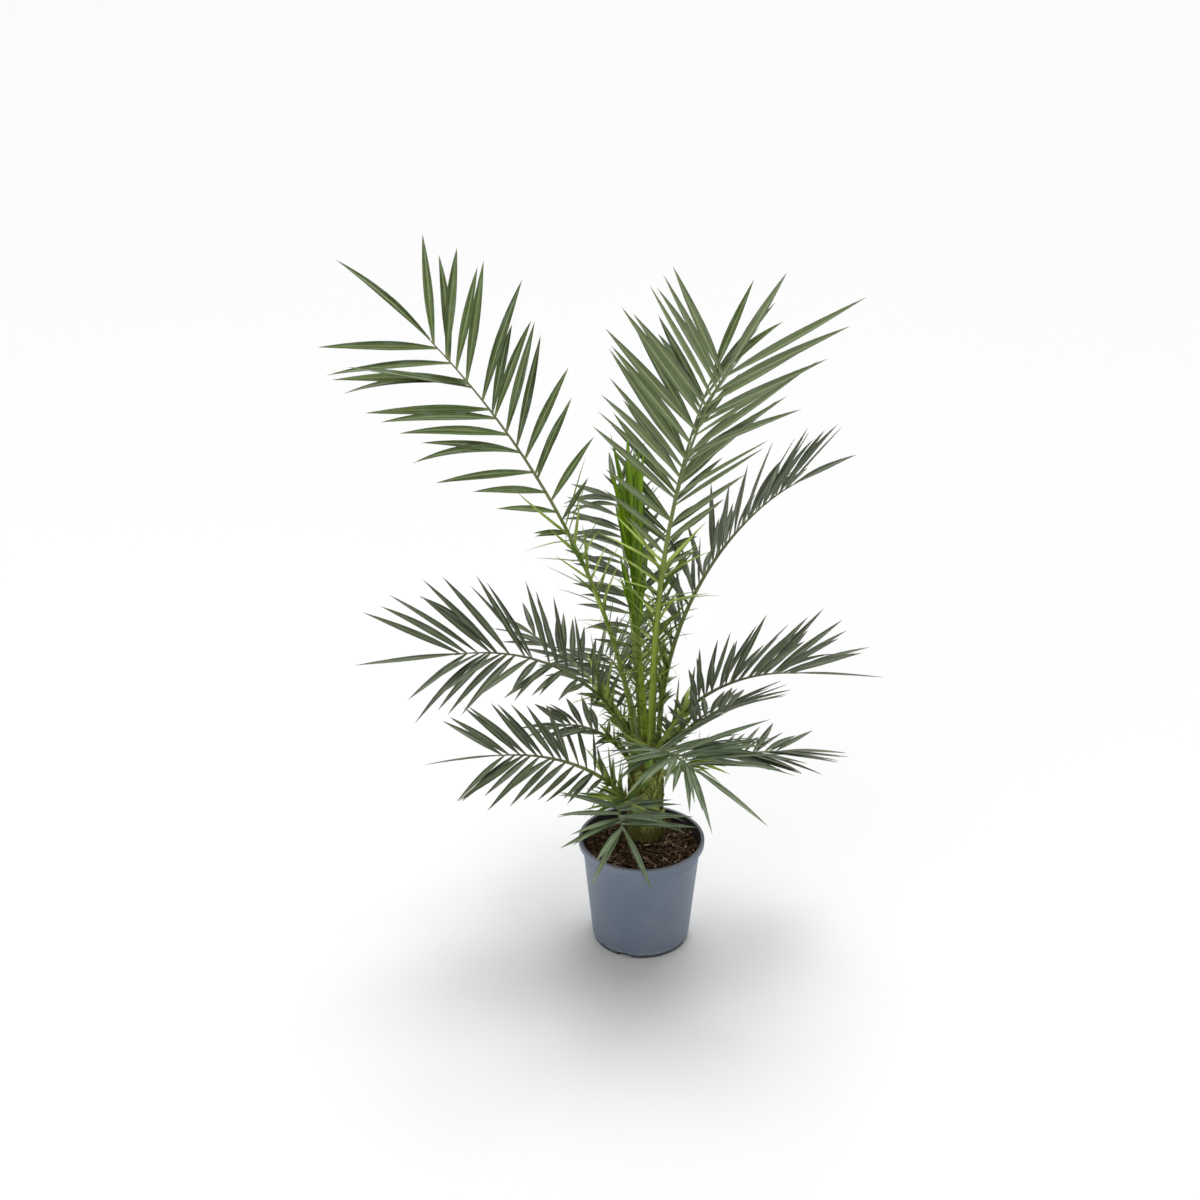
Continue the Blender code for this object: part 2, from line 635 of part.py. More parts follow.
def main():
    """Build every part of the palm."""
    clear_scene()
    palm = new_collection("potted_palm")
    pot = build_pot(palm, material("pot_plastic", POT_COLOUR, POT_ROUGHNESS))
    soil = build_soil(palm, material("potting_soil", SOIL_COLOUR, SOIL_ROUGHNESS))
    bark = material("trunk_fibre", TRUNK_COLOUR, TRUNK_ROUGHNESS)
    trunk = add_mesh("trunk", *trunk_shape(0.0), palm, bark)
    trunk.data.shade_smooth()
    cutters = new_collection("cutters", hidden=True)
    cutter = add_mesh("trunk_space", *trunk_shape(GAP), cutters)
    cutter.display_type = "WIRE"
    cutter.hide_render = True

    solid = [tree_of_object(pot), tree_of_object(soil), tree_of(*trunk_shape(GAP))]
    ribs = {frond.name: tree_of(*rib_shape(frond)) for frond in FRONDS}
    grown = []
    for frond in FRONDS:
        others = [tree for name, tree in ribs.items() if name != frond.name]
        mat = material(frond.name + "_leaf", HABITS[frond.habit].colour, LEAF_ROUGHNESS)
        grown += build_frond(frond, palm, solid + others + grown, cutter, mat)
    drop_collection(cutters)


if __name__ == "__main__":
    main()
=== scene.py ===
"""Looks of a potted young Canary Island date palm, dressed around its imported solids.

Metres, with +Z up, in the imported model's frame. The camera looks along +Y, so +X is to its
right. Azimuths are measured from +X towards +Y. Every frond grows by one rule: a rib that bends
over, two rows of folded leaflets, a last leaflet at its end and stiff spines below them.
"""

import itertools
import json
import logging
import math
from dataclasses import dataclass, field, replace
from enum import Enum
from typing import Any, Iterable, Mapping, Sequence

import bmesh
import bpy
import numpy as np
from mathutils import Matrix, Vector, noise
from mathutils.bvhtree import BVHTree

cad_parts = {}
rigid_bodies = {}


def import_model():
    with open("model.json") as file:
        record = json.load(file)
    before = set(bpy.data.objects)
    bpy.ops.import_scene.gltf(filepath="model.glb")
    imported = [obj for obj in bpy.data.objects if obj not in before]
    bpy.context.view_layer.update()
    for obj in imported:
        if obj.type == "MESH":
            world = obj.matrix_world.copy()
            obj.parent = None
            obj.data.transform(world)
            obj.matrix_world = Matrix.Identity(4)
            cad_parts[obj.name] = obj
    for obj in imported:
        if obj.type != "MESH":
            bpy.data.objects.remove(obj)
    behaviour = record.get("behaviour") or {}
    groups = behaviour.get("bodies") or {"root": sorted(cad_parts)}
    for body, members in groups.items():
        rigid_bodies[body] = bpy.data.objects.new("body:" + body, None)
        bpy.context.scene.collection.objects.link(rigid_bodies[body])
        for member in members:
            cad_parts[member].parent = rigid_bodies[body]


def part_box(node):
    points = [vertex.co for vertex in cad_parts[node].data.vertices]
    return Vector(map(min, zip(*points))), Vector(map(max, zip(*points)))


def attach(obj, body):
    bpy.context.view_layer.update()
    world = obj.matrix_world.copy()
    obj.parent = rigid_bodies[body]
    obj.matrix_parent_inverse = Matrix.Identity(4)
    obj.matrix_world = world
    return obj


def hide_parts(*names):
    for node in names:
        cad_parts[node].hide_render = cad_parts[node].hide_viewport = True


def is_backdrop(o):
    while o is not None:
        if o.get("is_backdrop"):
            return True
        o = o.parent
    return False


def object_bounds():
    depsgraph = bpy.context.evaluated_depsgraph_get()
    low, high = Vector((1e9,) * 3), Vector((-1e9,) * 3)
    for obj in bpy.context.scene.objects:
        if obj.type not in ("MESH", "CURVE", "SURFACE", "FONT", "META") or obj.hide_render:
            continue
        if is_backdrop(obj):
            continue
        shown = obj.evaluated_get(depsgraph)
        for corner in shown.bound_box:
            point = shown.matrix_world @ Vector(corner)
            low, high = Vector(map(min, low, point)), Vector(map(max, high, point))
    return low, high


LOG = logging.getLogger("potted_palm")
BODY = "root"
GOLDEN_ANGLE = math.radians(137.508)

Colour = tuple[float, float, float, float]
Faces = Sequence[tuple[int, ...]]


def shade(code: str) -> Colour:
    """Turn a screen colour into the linear colour that the shaders use.

    Args:
        code: The colour as six hexadecimal digits.

    Returns:
        Linear red, green, blue and an alpha of one.
    """
    parts = [int(code[at:at + 2], 16) / 255 for at in (0, 2, 4)]
    linear = [part / 12.92 if part <= 0.04045 else ((part + 0.055) / 1.055) ** 2.4 for part in parts]
    return (linear[0], linear[1], linear[2], 1.0)


def unit(vectors: np.ndarray) -> np.ndarray:
    """Return the vectors at length one."""
    return vectors / np.linalg.norm(vectors, axis=-1, keepdims=True)


class Slot(Enum):
    """The record's material slots."""

    POT = "pot_plastic"
    SOIL = "potting_soil"
    TRUNK = "trunk_fibre"
    SPEAR = "spear_leaf"
    YOUNG = "young_frond"
    OLD = "old_frond"


class Value:
    """A node's output that takes part in arithmetic."""

    def __init__(self, graph: "Graph", socket: bpy.types.NodeSocket) -> None:
        """Keep the socket and the graph that it belongs to."""
        self.graph = graph
        self.socket = socket

    def __add__(self, other: Any) -> "Value":
        """Return the sum."""
        return self.graph.maths("ADD", self, other)

    def __sub__(self, other: Any) -> "Value":
        """Return the difference."""
        return self.graph.maths("SUBTRACT", self, other)

    def __rsub__(self, other: Any) -> "Value":
        """Return the difference from a number."""
        return self.graph.maths("SUBTRACT", other, self)

    def __mul__(self, other: Any) -> "Value":
        """Return the product."""
        return self.graph.maths("MULTIPLY", self, other)

    def __pow__(self, other: Any) -> "Value":
        """Return the power."""
        return self.graph.maths("POWER", self, other)

    __radd__ = __add__
    __rmul__ = __mul__

    def size(self) -> "Value":
        """Return the value without its sign."""
        return self.graph.maths("ABSOLUTE", self)

    def step(self, low: float, high: float) -> "Value":
        """Return a smooth climb from 0 at low to 1 at high."""
        settings = {"interpolation_type": "SMOOTHSTEP"}
        return self.graph.value("ShaderNodeMapRange", settings,
                                {"Value": self, "From Min": low, "From Max": high})


class Graph:
    """A node tree under construction, for a material or for a Geometry Nodes modifier."""

    def __init__(self, tree: bpy.types.NodeTree) -> None:
        """Keep the tree that nodes are added to."""
        self.tree = tree

    def node(self, kind: str, settings: Mapping[str, Any] | None = None,
             sockets: Mapping[Any, Any] | None = None) -> bpy.types.Node:
        """Add one node.

        Args:
            kind: The node's type.
            settings: Its properties, and "stops" for a ramp's (place, colour) pairs.
            sockets: Its inputs by name or number: values, or other nodes' outputs.

        Returns:
            The node.
        """
        node = self.tree.nodes.new(kind)
        for name, setting in (settings or {}).items():
            if name == "stops":
                self._set_stops(node.color_ramp, setting)
            else:
                setattr(node, name, setting)
        for name, given in (sockets or {}).items():
            if isinstance(given, Value):
                self.tree.links.new(given.socket, node.inputs[name])
            else:
                node.inputs[name].default_value = given
        return node

    @staticmethod
    def _set_stops(ramp: bpy.types.ColorRamp, stops: Sequence[tuple[float, Colour]]) -> None:
        """Give a ramp its stops."""
        while len(ramp.elements) < len(stops):
            ramp.elements.new(1.0)
        for element, (place, colour) in zip(ramp.elements, stops):
            element.position = place
            element.color = colour

    def value(self, kind: str, settings: Mapping[str, Any] | None = None,
              sockets: Mapping[Any, Any] | None = None, output: Any = 0) -> Value:
        """Add one node and return one of its outputs.

        Args:
            kind: The node's type.
            settings: Its properties.
            sockets: Its inputs.
            output: The output's name or number.

        Returns:
            That output.
        """
        return Value(self, self.node(kind, settings, sockets).outputs[output])

    def maths(self, operation: str, first: Any, second: Any = 0.0) -> Value:
        """Return the result of a Math node on one or two numbers."""
        return self.value("ShaderNodeMath", {"operation": operation}, {0: first, 1: second})

    def blend(self, share: Any, below: Any, above: Any) -> Value:
        """Return a colour that turns from below to above as the share goes from 0 to 1."""
        return self.value("ShaderNodeMix", {"data_type": "RGBA"}, {0: share, 6: below, 7: above}, 2)

    def attribute(self, name: str) -> Value:
        """Return a number stored on the mesh."""
        return self.value("ShaderNodeAttribute", {"attribute_name": name}, output="Fac")

    def vector(self, x: Any, y: Any, z: Any) -> Value:
        """Return three numbers as a vector."""
        return self.value("ShaderNodeCombineXYZ", sockets={0: x, 1: y, 2: z})

    def place(self) -> Value:
        """Return the place on the object."""
        return self.value("ShaderNodeTexCoord", output="Object")

    def cloud(self, scale: float, detail: float = 3.0, at: Value | None = None, output: str = "Fac") -> Value:
        """Return noise of a scale, read at a place on the object unless another is given."""
        sockets = {"Vector": at or self.place(), "Scale": scale, "Detail": detail, "Roughness": 0.6}
        return self.value("ShaderNodeTexNoise", sockets=sockets, output=output)

    def relief(self, height: Value, distance: float, strength: float = 1.0) -> Value:
        """Return the normal of a bumped surface."""
        sockets = {"Height": height, "Distance": distance, "Strength": strength}
        return self.value("ShaderNodeBump", sockets=sockets, output="Normal")


@dataclass(frozen=True)
class Finish:
    """A surface: the sockets that stay the same all over it are fields."""

    name: str
    roughness: float = 0.6
    specular: float = 0.5
    sheen: float = 0.0

    def material(self) -> bpy.types.Material:
        """Build the material.

        Returns:
            A material whose Principled shader takes what varies from paint().
        """
        found = bpy.data.materials.get(self.name)
        if found:
            return found
        made = bpy.data.materials.new(self.name)
        made.use_nodes = True
        graph = Graph(made.node_tree)
        shader = made.node_tree.nodes["Principled BSDF"]
        shader.inputs["Roughness"].default_value = self.roughness
        shader.inputs["Specular IOR Level"].default_value = self.specular
        shader.inputs["Sheen Weight"].default_value = self.sheen
        for name, given in self.paint(graph).items():
            made.node_tree.links.new(given.socket, shader.inputs[name])
        return made

    def paint(self, graph: Graph) -> dict[str, Value]:
        """Return what varies over the surface, by the shader's socket names."""
        raise NotImplementedError


@dataclass(frozen=True)
class PotFinish(Finish):
    """Blue grey moulded polypropylene, a little dusty, scuffed along its foot."""

    base: Colour = shade("6b7789")
    pale: Colour = shade("8a939e")
    dust: Colour = shade("6b5a49")
    # The nearly black colour painted over the inside of the wall, above the soil.
    inner_wall_dark: Colour = shade("1d140d")
    worn: Colour = shade("b4b8bc")
    foot: float = 0.011
    lip: float = 0.2024
    # The middle of the wall lies at inner + slope x height from the axis, and further out in the lip
    inner: float = 0.0912
    slope: float = 0.0954
    lip_out: float = 0.0022

    def paint(self, graph: Graph) -> dict[str, Value]:
        """Return colour, roughness and the fine grain of the mould."""
        place = graph.place()
        height = graph.value("ShaderNodeSeparateXYZ", sockets={0: place}, output="Z")
        flat = graph.value("ShaderNodeVectorMath", {"operation": "MULTIPLY"}, {0: place, 1: (1.0, 1.0, 0.0)})
        away = graph.value("ShaderNodeVectorMath", {"operation": "LENGTH"}, {0: flat}, "Value")
        mottle = graph.cloud(9.0, 4.0)
        grain = graph.cloud(900.0, 2.0)
        scuffs = graph.cloud(140.0, 6.0).step(0.56, 0.70)
        foot = 1 - height.step(self.foot * 0.4, self.foot * 1.5)
        rim = height.step(self.lip + 0.008, self.lip + 0.0118)
        colour = graph.blend(mottle.step(0.35, 0.75) * 0.35, self.base, self.pale)
        colour = graph.blend(foot * (0.25 + scuffs * 0.6), colour, self.pale)
        colour = graph.blend(rim * (0.25 + scuffs * 0.5), colour, self.dust)
        edge = height.step(0.0084, 0.0102) * (1 - height.step(0.0106, 0.0128))
        colour = graph.blend(edge * graph.cloud(55.0, 5.0).step(0.38, 0.54), colour, self.worn)
        colour = graph.blend(graph.cloud(60.0, 5.0).step(0.62, 0.75) * 0.22, colour, self.dust)
        # The inside of the wall, above the soil, is painted nearly black.
        wall = height * self.slope + height.step(self.lip - 0.0014, self.lip + 0.0016) * self.lip_out
        spread = (graph.cloud(90.0, 5.0) - 0.5) * 0.0018
        inside = 1 - (away - wall + spread).step(self.inner - 0.0006, self.inner + 0.0006)
        colour = graph.blend(inside * 0.93, colour, self.inner_wall_dark)
        roughness = mottle * 0.14 + grain * 0.06 + self.roughness - 0.08
        return {"Base Color": colour, "Roughness": roughness,
                "Normal": graph.relief(grain + scuffs * 0.5, 0.00012, 0.5)}


@dataclass(frozen=True)
class SpeckledFinish(Finish):
    """A matt earthy surface of two colours with flecks of a third and a coarse relief."""

    deep: Colour = shade("060302")
    light: Colour = shade("66503e")
    fleck: Colour = shade("ad8f78")
    scale: float = 160.0
    flecks: float = 0.68
    depth: float = 0.0012

    def paint(self, graph: Graph) -> dict[str, Value]:
        """Return colour, roughness and relief."""
        coarse = graph.cloud(self.scale, 6.0)
        fine = graph.cloud(self.scale * 4.0, 4.0)
        colour = graph.blend(coarse.step(0.36, 0.72), self.deep, self.light)
        colour = graph.blend(fine.step(self.flecks, self.flecks + 0.08) * 0.8, colour, self.fleck)
        return {"Base Color": colour, "Roughness": coarse * 0.2 + self.roughness - 0.1,
                "Normal": graph.relief(coarse + fine * 0.4, self.depth, 0.8)}


@dataclass(frozen=True)
class TonedFinish(Finish):
    """Small loose things of one kind, each of its own tone between two colours."""

    deep: Colour = shade("3a2819")
    light: Colour = shade("b89b6c")
    scale: float = 500.0

    def paint(self, graph: Graph) -> dict[str, Value]:
        """Return colour and relief."""
        grain = graph.cloud(self.scale, 4.0)
        tone = graph.attribute("tone") * 0.75 + grain * 0.35
        colour = graph.blend(tone.step(0.1, 1.0), self.deep, self.light)
        return {"Base Color": colour, "Normal": graph.relief(grain, 0.0004, 0.7)}


@dataclass(frozen=True)
class BarkFinish(Finish):
    """Trunk of old leaf bases under a net of crossing fibres: olive, browner towards its foot, with painted shade
    in its crevices.
    """

    deep: Colour = shade("2a2d10")
    green: Colour = shade("88963c")
    brown: Colour = shade("6c5b30")
    fibre: Colour = shade("b2b866")
    axis: tuple[float, float] = (0.008, 0.035)
    low: float = 0.18
    high: float = 0.27
    strands: int = 13
    pitch: float = 330.0

    def paint(self, graph: Graph) -> dict[str, Value]:
        """Return colour, roughness and relief."""
        place = graph.place()
        height = graph.value("ShaderNodeSeparateXYZ", sockets={0: place}, output="Z")
        aside = graph.value("ShaderNodeSeparateXYZ", sockets={0: place}, output="X") - self.axis[0]
        inward = graph.value("ShaderNodeSeparateXYZ", sockets={0: place}, output="Y") - self.axis[1]
        around = graph.maths("ARCTAN2", inward, aside) * self.strands
        wander = graph.cloud(38.0, 4.0) * 8.0
        rising = graph.maths("SINE", around + height * self.pitch + wander).size()
        falling = graph.maths("SINE", around - height * self.pitch - wander).size()
        net = graph.maths("MAXIMUM", rising.step(0.80, 0.97), falling.step(0.84, 0.98))
        stretched = graph.value("ShaderNodeVectorMath", {"operation": "MULTIPLY"},
                                {0: place, 1: (1.0, 1.0, 0.16)})
        strands = graph.cloud(420.0, 5.0, stretched)
        patches = graph.cloud(45.0, 4.0)
        climb = (height + patches * 0.12 - 0.06).step(self.low, self.high)
        colour = graph.blend(climb, self.brown, self.green)
        colour = graph.blend(strands.step(0.62, 0.36) * 0.75, colour, self.deep)
        # Painted shade: the bark is darkened towards deep where the stored rise is low, in the crevices between old
        # leaf bases.
        colour = graph.blend((1 - graph.attribute("rise")) * 0.45, colour, self.deep)
        colour = graph.blend(net * 0.6, colour, graph.blend(climb, self.brown, self.fibre))
        return {"Base Color": colour, "Roughness": strands * 0.3 + self.roughness - 0.15,
                "Normal": graph.relief(strands + patches * 0.6 + net * 0.8, 0.0010, 0.8)}


@dataclass(frozen=True)
class LeafletFinish(Finish):
    """A folded leaflet: pale midrib and margin, fine veins, a dry tip and a duller underside."""

    deep: Colour = shade("35482b")
    light: Colour = shade("6f8a4e")
    under: Colour = shade("7f9274")
    rib: Colour = shade("a3b077")
    dry: Colour = shade("7d6a52")
    margin: Colour = shade("4b4b3e")
    bloom: Colour = shade("93a592")
    bloom_share: float = 0.35
    olive: Colour = shade("5f6d20")
    olive_share: float = 0.45

    def paint(self, graph: Graph) -> dict[str, Value]:
        """Return colour, roughness and veins."""
        along = graph.attribute("along")
        across = graph.attribute("across")
        tone = graph.attribute("tone")
        aside = across.size()
        own = graph.vector(across * 5.0, along * 1.6, tone * 37.0)
        streaks = graph.cloud(1.0, 4.0, own)
        veins = graph.cloud(1.0, 1.0, graph.vector(across * 26.0, tone * 11.0, along * 0.8))
        stripes = graph.cloud(1.0, 2.0, graph.vector(across * 7.0, tone * 29.0, along * 0.6))
        tints = graph.cloud(1.0, 2.0, graph.vector(tone * 61.0, along * 2.5, across * 2.0))
        patches = graph.cloud(1.0, 3.0, graph.vector(along * 6.0, tone * 53.0, across))
        colour = graph.blend((tone * 0.8 + streaks * 0.8 - 0.35).step(0.0, 1.0), self.deep, self.light)
        colour = graph.blend(tints.step(0.50, 0.66) * self.olive_share, colour, self.olive)
        colour = graph.blend(stripes.step(0.52, 0.62) * 0.65, colour, self.light)
        colour = graph.blend(stripes.step(0.49, 0.40) * 0.85, colour, self.deep)
        colour = graph.blend(veins.step(0.5, 0.8) * 0.25, colour, self.light)
        colour = graph.blend(patches.step(0.4, 0.75) * self.bloom_share, colour, self.bloom)
        colour = graph.blend(graph.attribute("under") * 0.55, colour, self.under)
        colour = graph.blend((1 - aside.step(0.05, 0.24)) * 0.7, colour, self.rib)
        colour = graph.blend(aside.step(0.78, 1.0) * 0.5, colour, self.margin)
        colour = graph.blend((1 - along.step(0.0, 0.09)) * 0.7, colour, self.rib)
        dried = (along + (patches - 0.5) * 0.12).step(0.93, 0.99)
        colour = graph.blend(dried * 0.85, colour, self.dry)
        return {"Base Color": colour, "Roughness": streaks * 0.16 + dried * 0.2 + self.roughness - 0.08,
                "Normal": graph.relief(veins, 0.0004, 0.45)}


@dataclass(frozen=True)
class StalkFinish(Finish):
    """A rib: yellow green low down, greyer towards its tip, brown and fibrous at its foot."""

    deep: Colour = shade("4b6127")
    light: Colour = shade("8fae4e")
    foot: Colour = shade("6e5632")
    tip: Colour = shade("5d6347")

    def paint(self, graph: Graph) -> dict[str, Value]:
        """Return colour, roughness and long grain."""
        along = graph.attribute("along")
        across = graph.attribute("across")
        tone = graph.attribute("tone")
        grain = graph.cloud(1.0, 4.0, graph.vector(across * 16.0, along * 7.0, tone * 31.0))
        patches = graph.cloud(1.0, 4.0, graph.vector(along * 22.0, across * 2.0, tone * 17.0))
        colour = graph.blend((tone * 0.5 + grain * 0.7 - 0.1).step(0.1, 0.9), self.deep, self.light)
        colour = graph.blend(across.size().step(0.72, 1.0) * 0.35, colour, self.deep)
        colour = graph.blend((along + patches * 0.15).step(0.30, 0.80) * 0.85, colour, self.tip)
        foot = 1 - (along + patches * 0.03).step(0.015, 0.075)
        colour = graph.blend(foot * 0.8, colour, self.foot)
        return {"Base Color": colour, "Roughness": grain * 0.2 + self.roughness - 0.1,
                "Normal": graph.relief(grain, 0.0005, 0.4)}


class Piece:
    """Helpers that turn arrays into finished objects."""

    @staticmethod
    def mesh(name: str, verts: Iterable[Sequence[float]], faces: Faces = (),
             edges: Sequence[tuple[int, int]] = ()) -> bpy.types.Object:
        """Add an object made of arrays.

        Args:
            name: The object's name.
            verts: Its points.
            faces: Its faces, if it has any.
            edges: Its edges, where it has no faces.

        Returns:
            The object, linked to the scene.
        """
        mesh = bpy.data.meshes.new(name)
        mesh.from_pydata([tuple(map(float, vert)) for vert in verts], edges, faces)
        made = bpy.data.objects.new(name, mesh)
        bpy.context.scene.collection.objects.link(made)
        return made

    @staticmethod
    def store(piece: bpy.types.Object, name: str, numbers: np.ndarray, domain: str = "POINT") -> None:
        """Store numbers or vectors on a mesh.

        Args:
            piece: The object.
            name: The attribute's name.
            numbers: One number, or three, for each element.
            domain: POINT or FACE.
        """
        flat = np.asarray(numbers, dtype=np.float32)
        kind, key = ("FLOAT_VECTOR", "vector") if flat.ndim == 2 else ("FLOAT", "value")
        piece.data.attributes.new(name, kind, domain).data.foreach_set(key, flat.ravel())

    @staticmethod
    def outward(piece: bpy.types.Object) -> None:
        """Turn a closed mesh's faces outwards."""
        work = bmesh.new()
        work.from_mesh(piece.data)
        bmesh.ops.recalc_face_normals(work, faces=work.faces)
        work.to_mesh(piece.data)
        work.free()

    @staticmethod
    def apply(piece: bpy.types.Object) -> None:
        """Replace an object's mesh by what its modifiers make of it."""
        graph = bpy.context.evaluated_depsgraph_get()
        mesh = bpy.data.meshes.new_from_object(piece.evaluated_get(graph))
        piece.modifiers.clear()
        old = piece.data
        piece.data = mesh
        bpy.data.meshes.remove(old)
        mesh.name = piece.name

    @staticmethod
    def finish(piece: bpy.types.Object, finish: Finish, slot: Slot, nodes: Sequence[str],
               sharp: float = 40.0) -> None:
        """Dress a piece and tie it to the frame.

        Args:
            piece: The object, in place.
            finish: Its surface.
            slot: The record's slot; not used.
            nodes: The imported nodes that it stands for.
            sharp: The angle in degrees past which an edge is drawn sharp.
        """
        piece.data.materials.clear()
        piece.data.materials.append(finish.material())
        piece.data.shade_smooth()
        piece.data.set_sharp_from_angle(angle=math.radians(sharp))
        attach(piece, BODY)
        if nodes:
            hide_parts(*nodes)
        piece.data.calc_loop_triangles()
        LOG.info("%s: %d triangles", piece.name, len(piece.data.loop_triangles))

    @staticmethod
    def turned(profile: Sequence[tuple[float, float]], steps: int) -> tuple[list, list]:
        """Turn an outline around the Z axis.

        Args:
            profile: (radius, height) points that start and end on the axis.
            steps: The number of steps round.

        Returns:
            Points and faces.
        """
        verts = []
        rings = []
        for radius, height in profile:
            count = 1 if radius == 0 else steps
            rings.append([len(verts) + col for col in range(count)])
            for col in range(count):
                angle = 2 * math.pi * col / steps
                verts.append((radius * math.cos(angle), radius * math.sin(angle), height))
        faces = []
        for lower, upper in itertools.pairwise(rings):
            for col in range(steps):
                after = (col + 1) % steps
                corners = [lower[col % len(lower)], lower[after % len(lower)],
                           upper[after % len(upper)], upper[col % len(upper)]]
                faces.append(tuple(dict.fromkeys(corners)))
        return verts, faces


class Grower:
    """Geometry Nodes that grow one pattern on many points, or a tube along many threads."""

    ATTRIBUTES = {"aim": "FLOAT_VECTOR", "face": "FLOAT_VECTOR", "size": "FLOAT_VECTOR",
                  "sag": "FLOAT", "bow": "FLOAT", "along": "FLOAT"}

    def __init__(self, name: str) -> None:
        """Start an empty tree with a geometry input and output and a material input."""
        self.tree = bpy.data.node_groups.new(name, "GeometryNodeTree")
        self.graph = Graph(self.tree)
        self.tree.interface.new_socket("Geometry", in_out="OUTPUT", socket_type="NodeSocketGeometry")
        self.sockets = {"Geometry": self._input("Geometry", "NodeSocketGeometry"),
                        "Surface": self._input("Surface", "NodeSocketMaterial")}

    def _input(self, name: str, kind: str) -> str:
        """Add a named input and return its identifier."""
        return self.tree.interface.new_socket(name, in_out="INPUT", socket_type=kind).identifier

    def _read(self, name: str) -> Value:
        """Return an attribute of the points."""
        return self.graph.value("GeometryNodeInputNamedAttribute", {"data_type": self.ATTRIBUTES[name]},
                                {"Name": name})

    def _close(self, given: bpy.types.Node, shape: Value) -> None:
        """End the tree: real geometry with its material."""
        real = self.graph.value("GeometryNodeRealizeInstances", sockets={"Geometry": shape})
        dressed = self.graph.value("GeometryNodeSetMaterial", sockets={
            "Geometry": real, "Material": Value(self.graph, given.outputs["Surface"])})
        self.graph.node("NodeGroupOutput", sockets={"Geometry": dressed})

    def sprouts(self) -> "Grower":
        """Make a tree that grows a pattern on each point.

        The pattern lies along +X with its breadth along Y, one unit long and wide. Each point
        says where it aims and faces, its size, its sag in height and its bow to the side.

        Returns:
            This grower.
        """
        self.sockets["Pattern"] = self._input("Pattern", "NodeSocketObject")
        graph = self.graph
        given = graph.node("NodeGroupInput")
        turn = graph.value("FunctionNodeAxesToRotation", {"primary_axis": "X", "secondary_axis": "Y"},
                           {0: self._read("aim"), 1: self._read("face")})
        pattern = graph.value("GeometryNodeObjectInfo",
                              sockets={"Object": Value(graph, given.outputs["Pattern"])}, output="Geometry")
        grown = graph.value("GeometryNodeInstanceOnPoints", sockets={
            "Points": Value(graph, given.outputs["Geometry"]), "Instance": pattern,
            "Rotation": turn, "Scale": self._read("size")})
        real = graph.value("GeometryNodeRealizeInstances", sockets={"Geometry": grown})
        length = graph.value("ShaderNodeSeparateXYZ", sockets={0: self._read("size")}, output="X")
        along = self._read("along")
        reach = length * along * along
        side = graph.value("ShaderNodeVectorMath", {"operation": "SCALE"},
                           {0: self._read("face"), "Scale": reach * self._read("bow")})
        drop = graph.vector(0.0, 0.0, reach * self._read("sag") * -1.0)
        move = graph.value("ShaderNodeVectorMath", {"operation": "ADD"}, {0: side, 1: drop})
        bent = graph.value("GeometryNodeSetPosition", sockets={"Geometry": real, "Offset": move})
        self._close(given, bent)
        return self

    def threads(self, sides: int) -> "Grower":
        """Make a tree that lays a tapering tube along each chain of edges.

        Args:
            sides: The number of sides of the tube.

        Returns:
            This grower.
        """
        self.sockets["Radius"] = self._input("Radius", "NodeSocketFloat")
        graph = self.graph
        given = graph.node("NodeGroupInput")
        line = graph.value("GeometryNodeMeshToCurve",
                           sockets={"Mesh": Value(graph, given.outputs["Geometry"])})
        ring = graph.value("GeometryNodeCurvePrimitiveCircle", sockets={
            "Resolution": sides, "Radius": Value(graph, given.outputs["Radius"])})
        thickness = graph.value("GeometryNodeInputNamedAttribute", {"data_type": "FLOAT"},
                                {"Name": "thickness"})
        tube = graph.value("GeometryNodeCurveToMesh", sockets={
            "Curve": line, "Profile Curve": ring, "Scale": thickness, "Fill Caps": True})
        self._close(given, tube)
        return self

    def grow(self, seeds: bpy.types.Object, finish: Finish, **inputs: Any) -> bpy.types.Object:
        """Grow the tree's shape on an object and keep the plain mesh.

        Args:
            seeds: The points or threads. This object becomes the piece.
            finish: The piece's surface.
            inputs: The tree's other inputs by name.

        Returns:
            The piece.
        """
        modifier = seeds.modifiers.new("Grow", "NODES")
        modifier.node_group = self.tree
        modifier[self.sockets["Surface"]] = finish.material()
        for name, given in inputs.items():
            modifier[self.sockets[name]] = given
        Piece.apply(seeds)
        return seeds


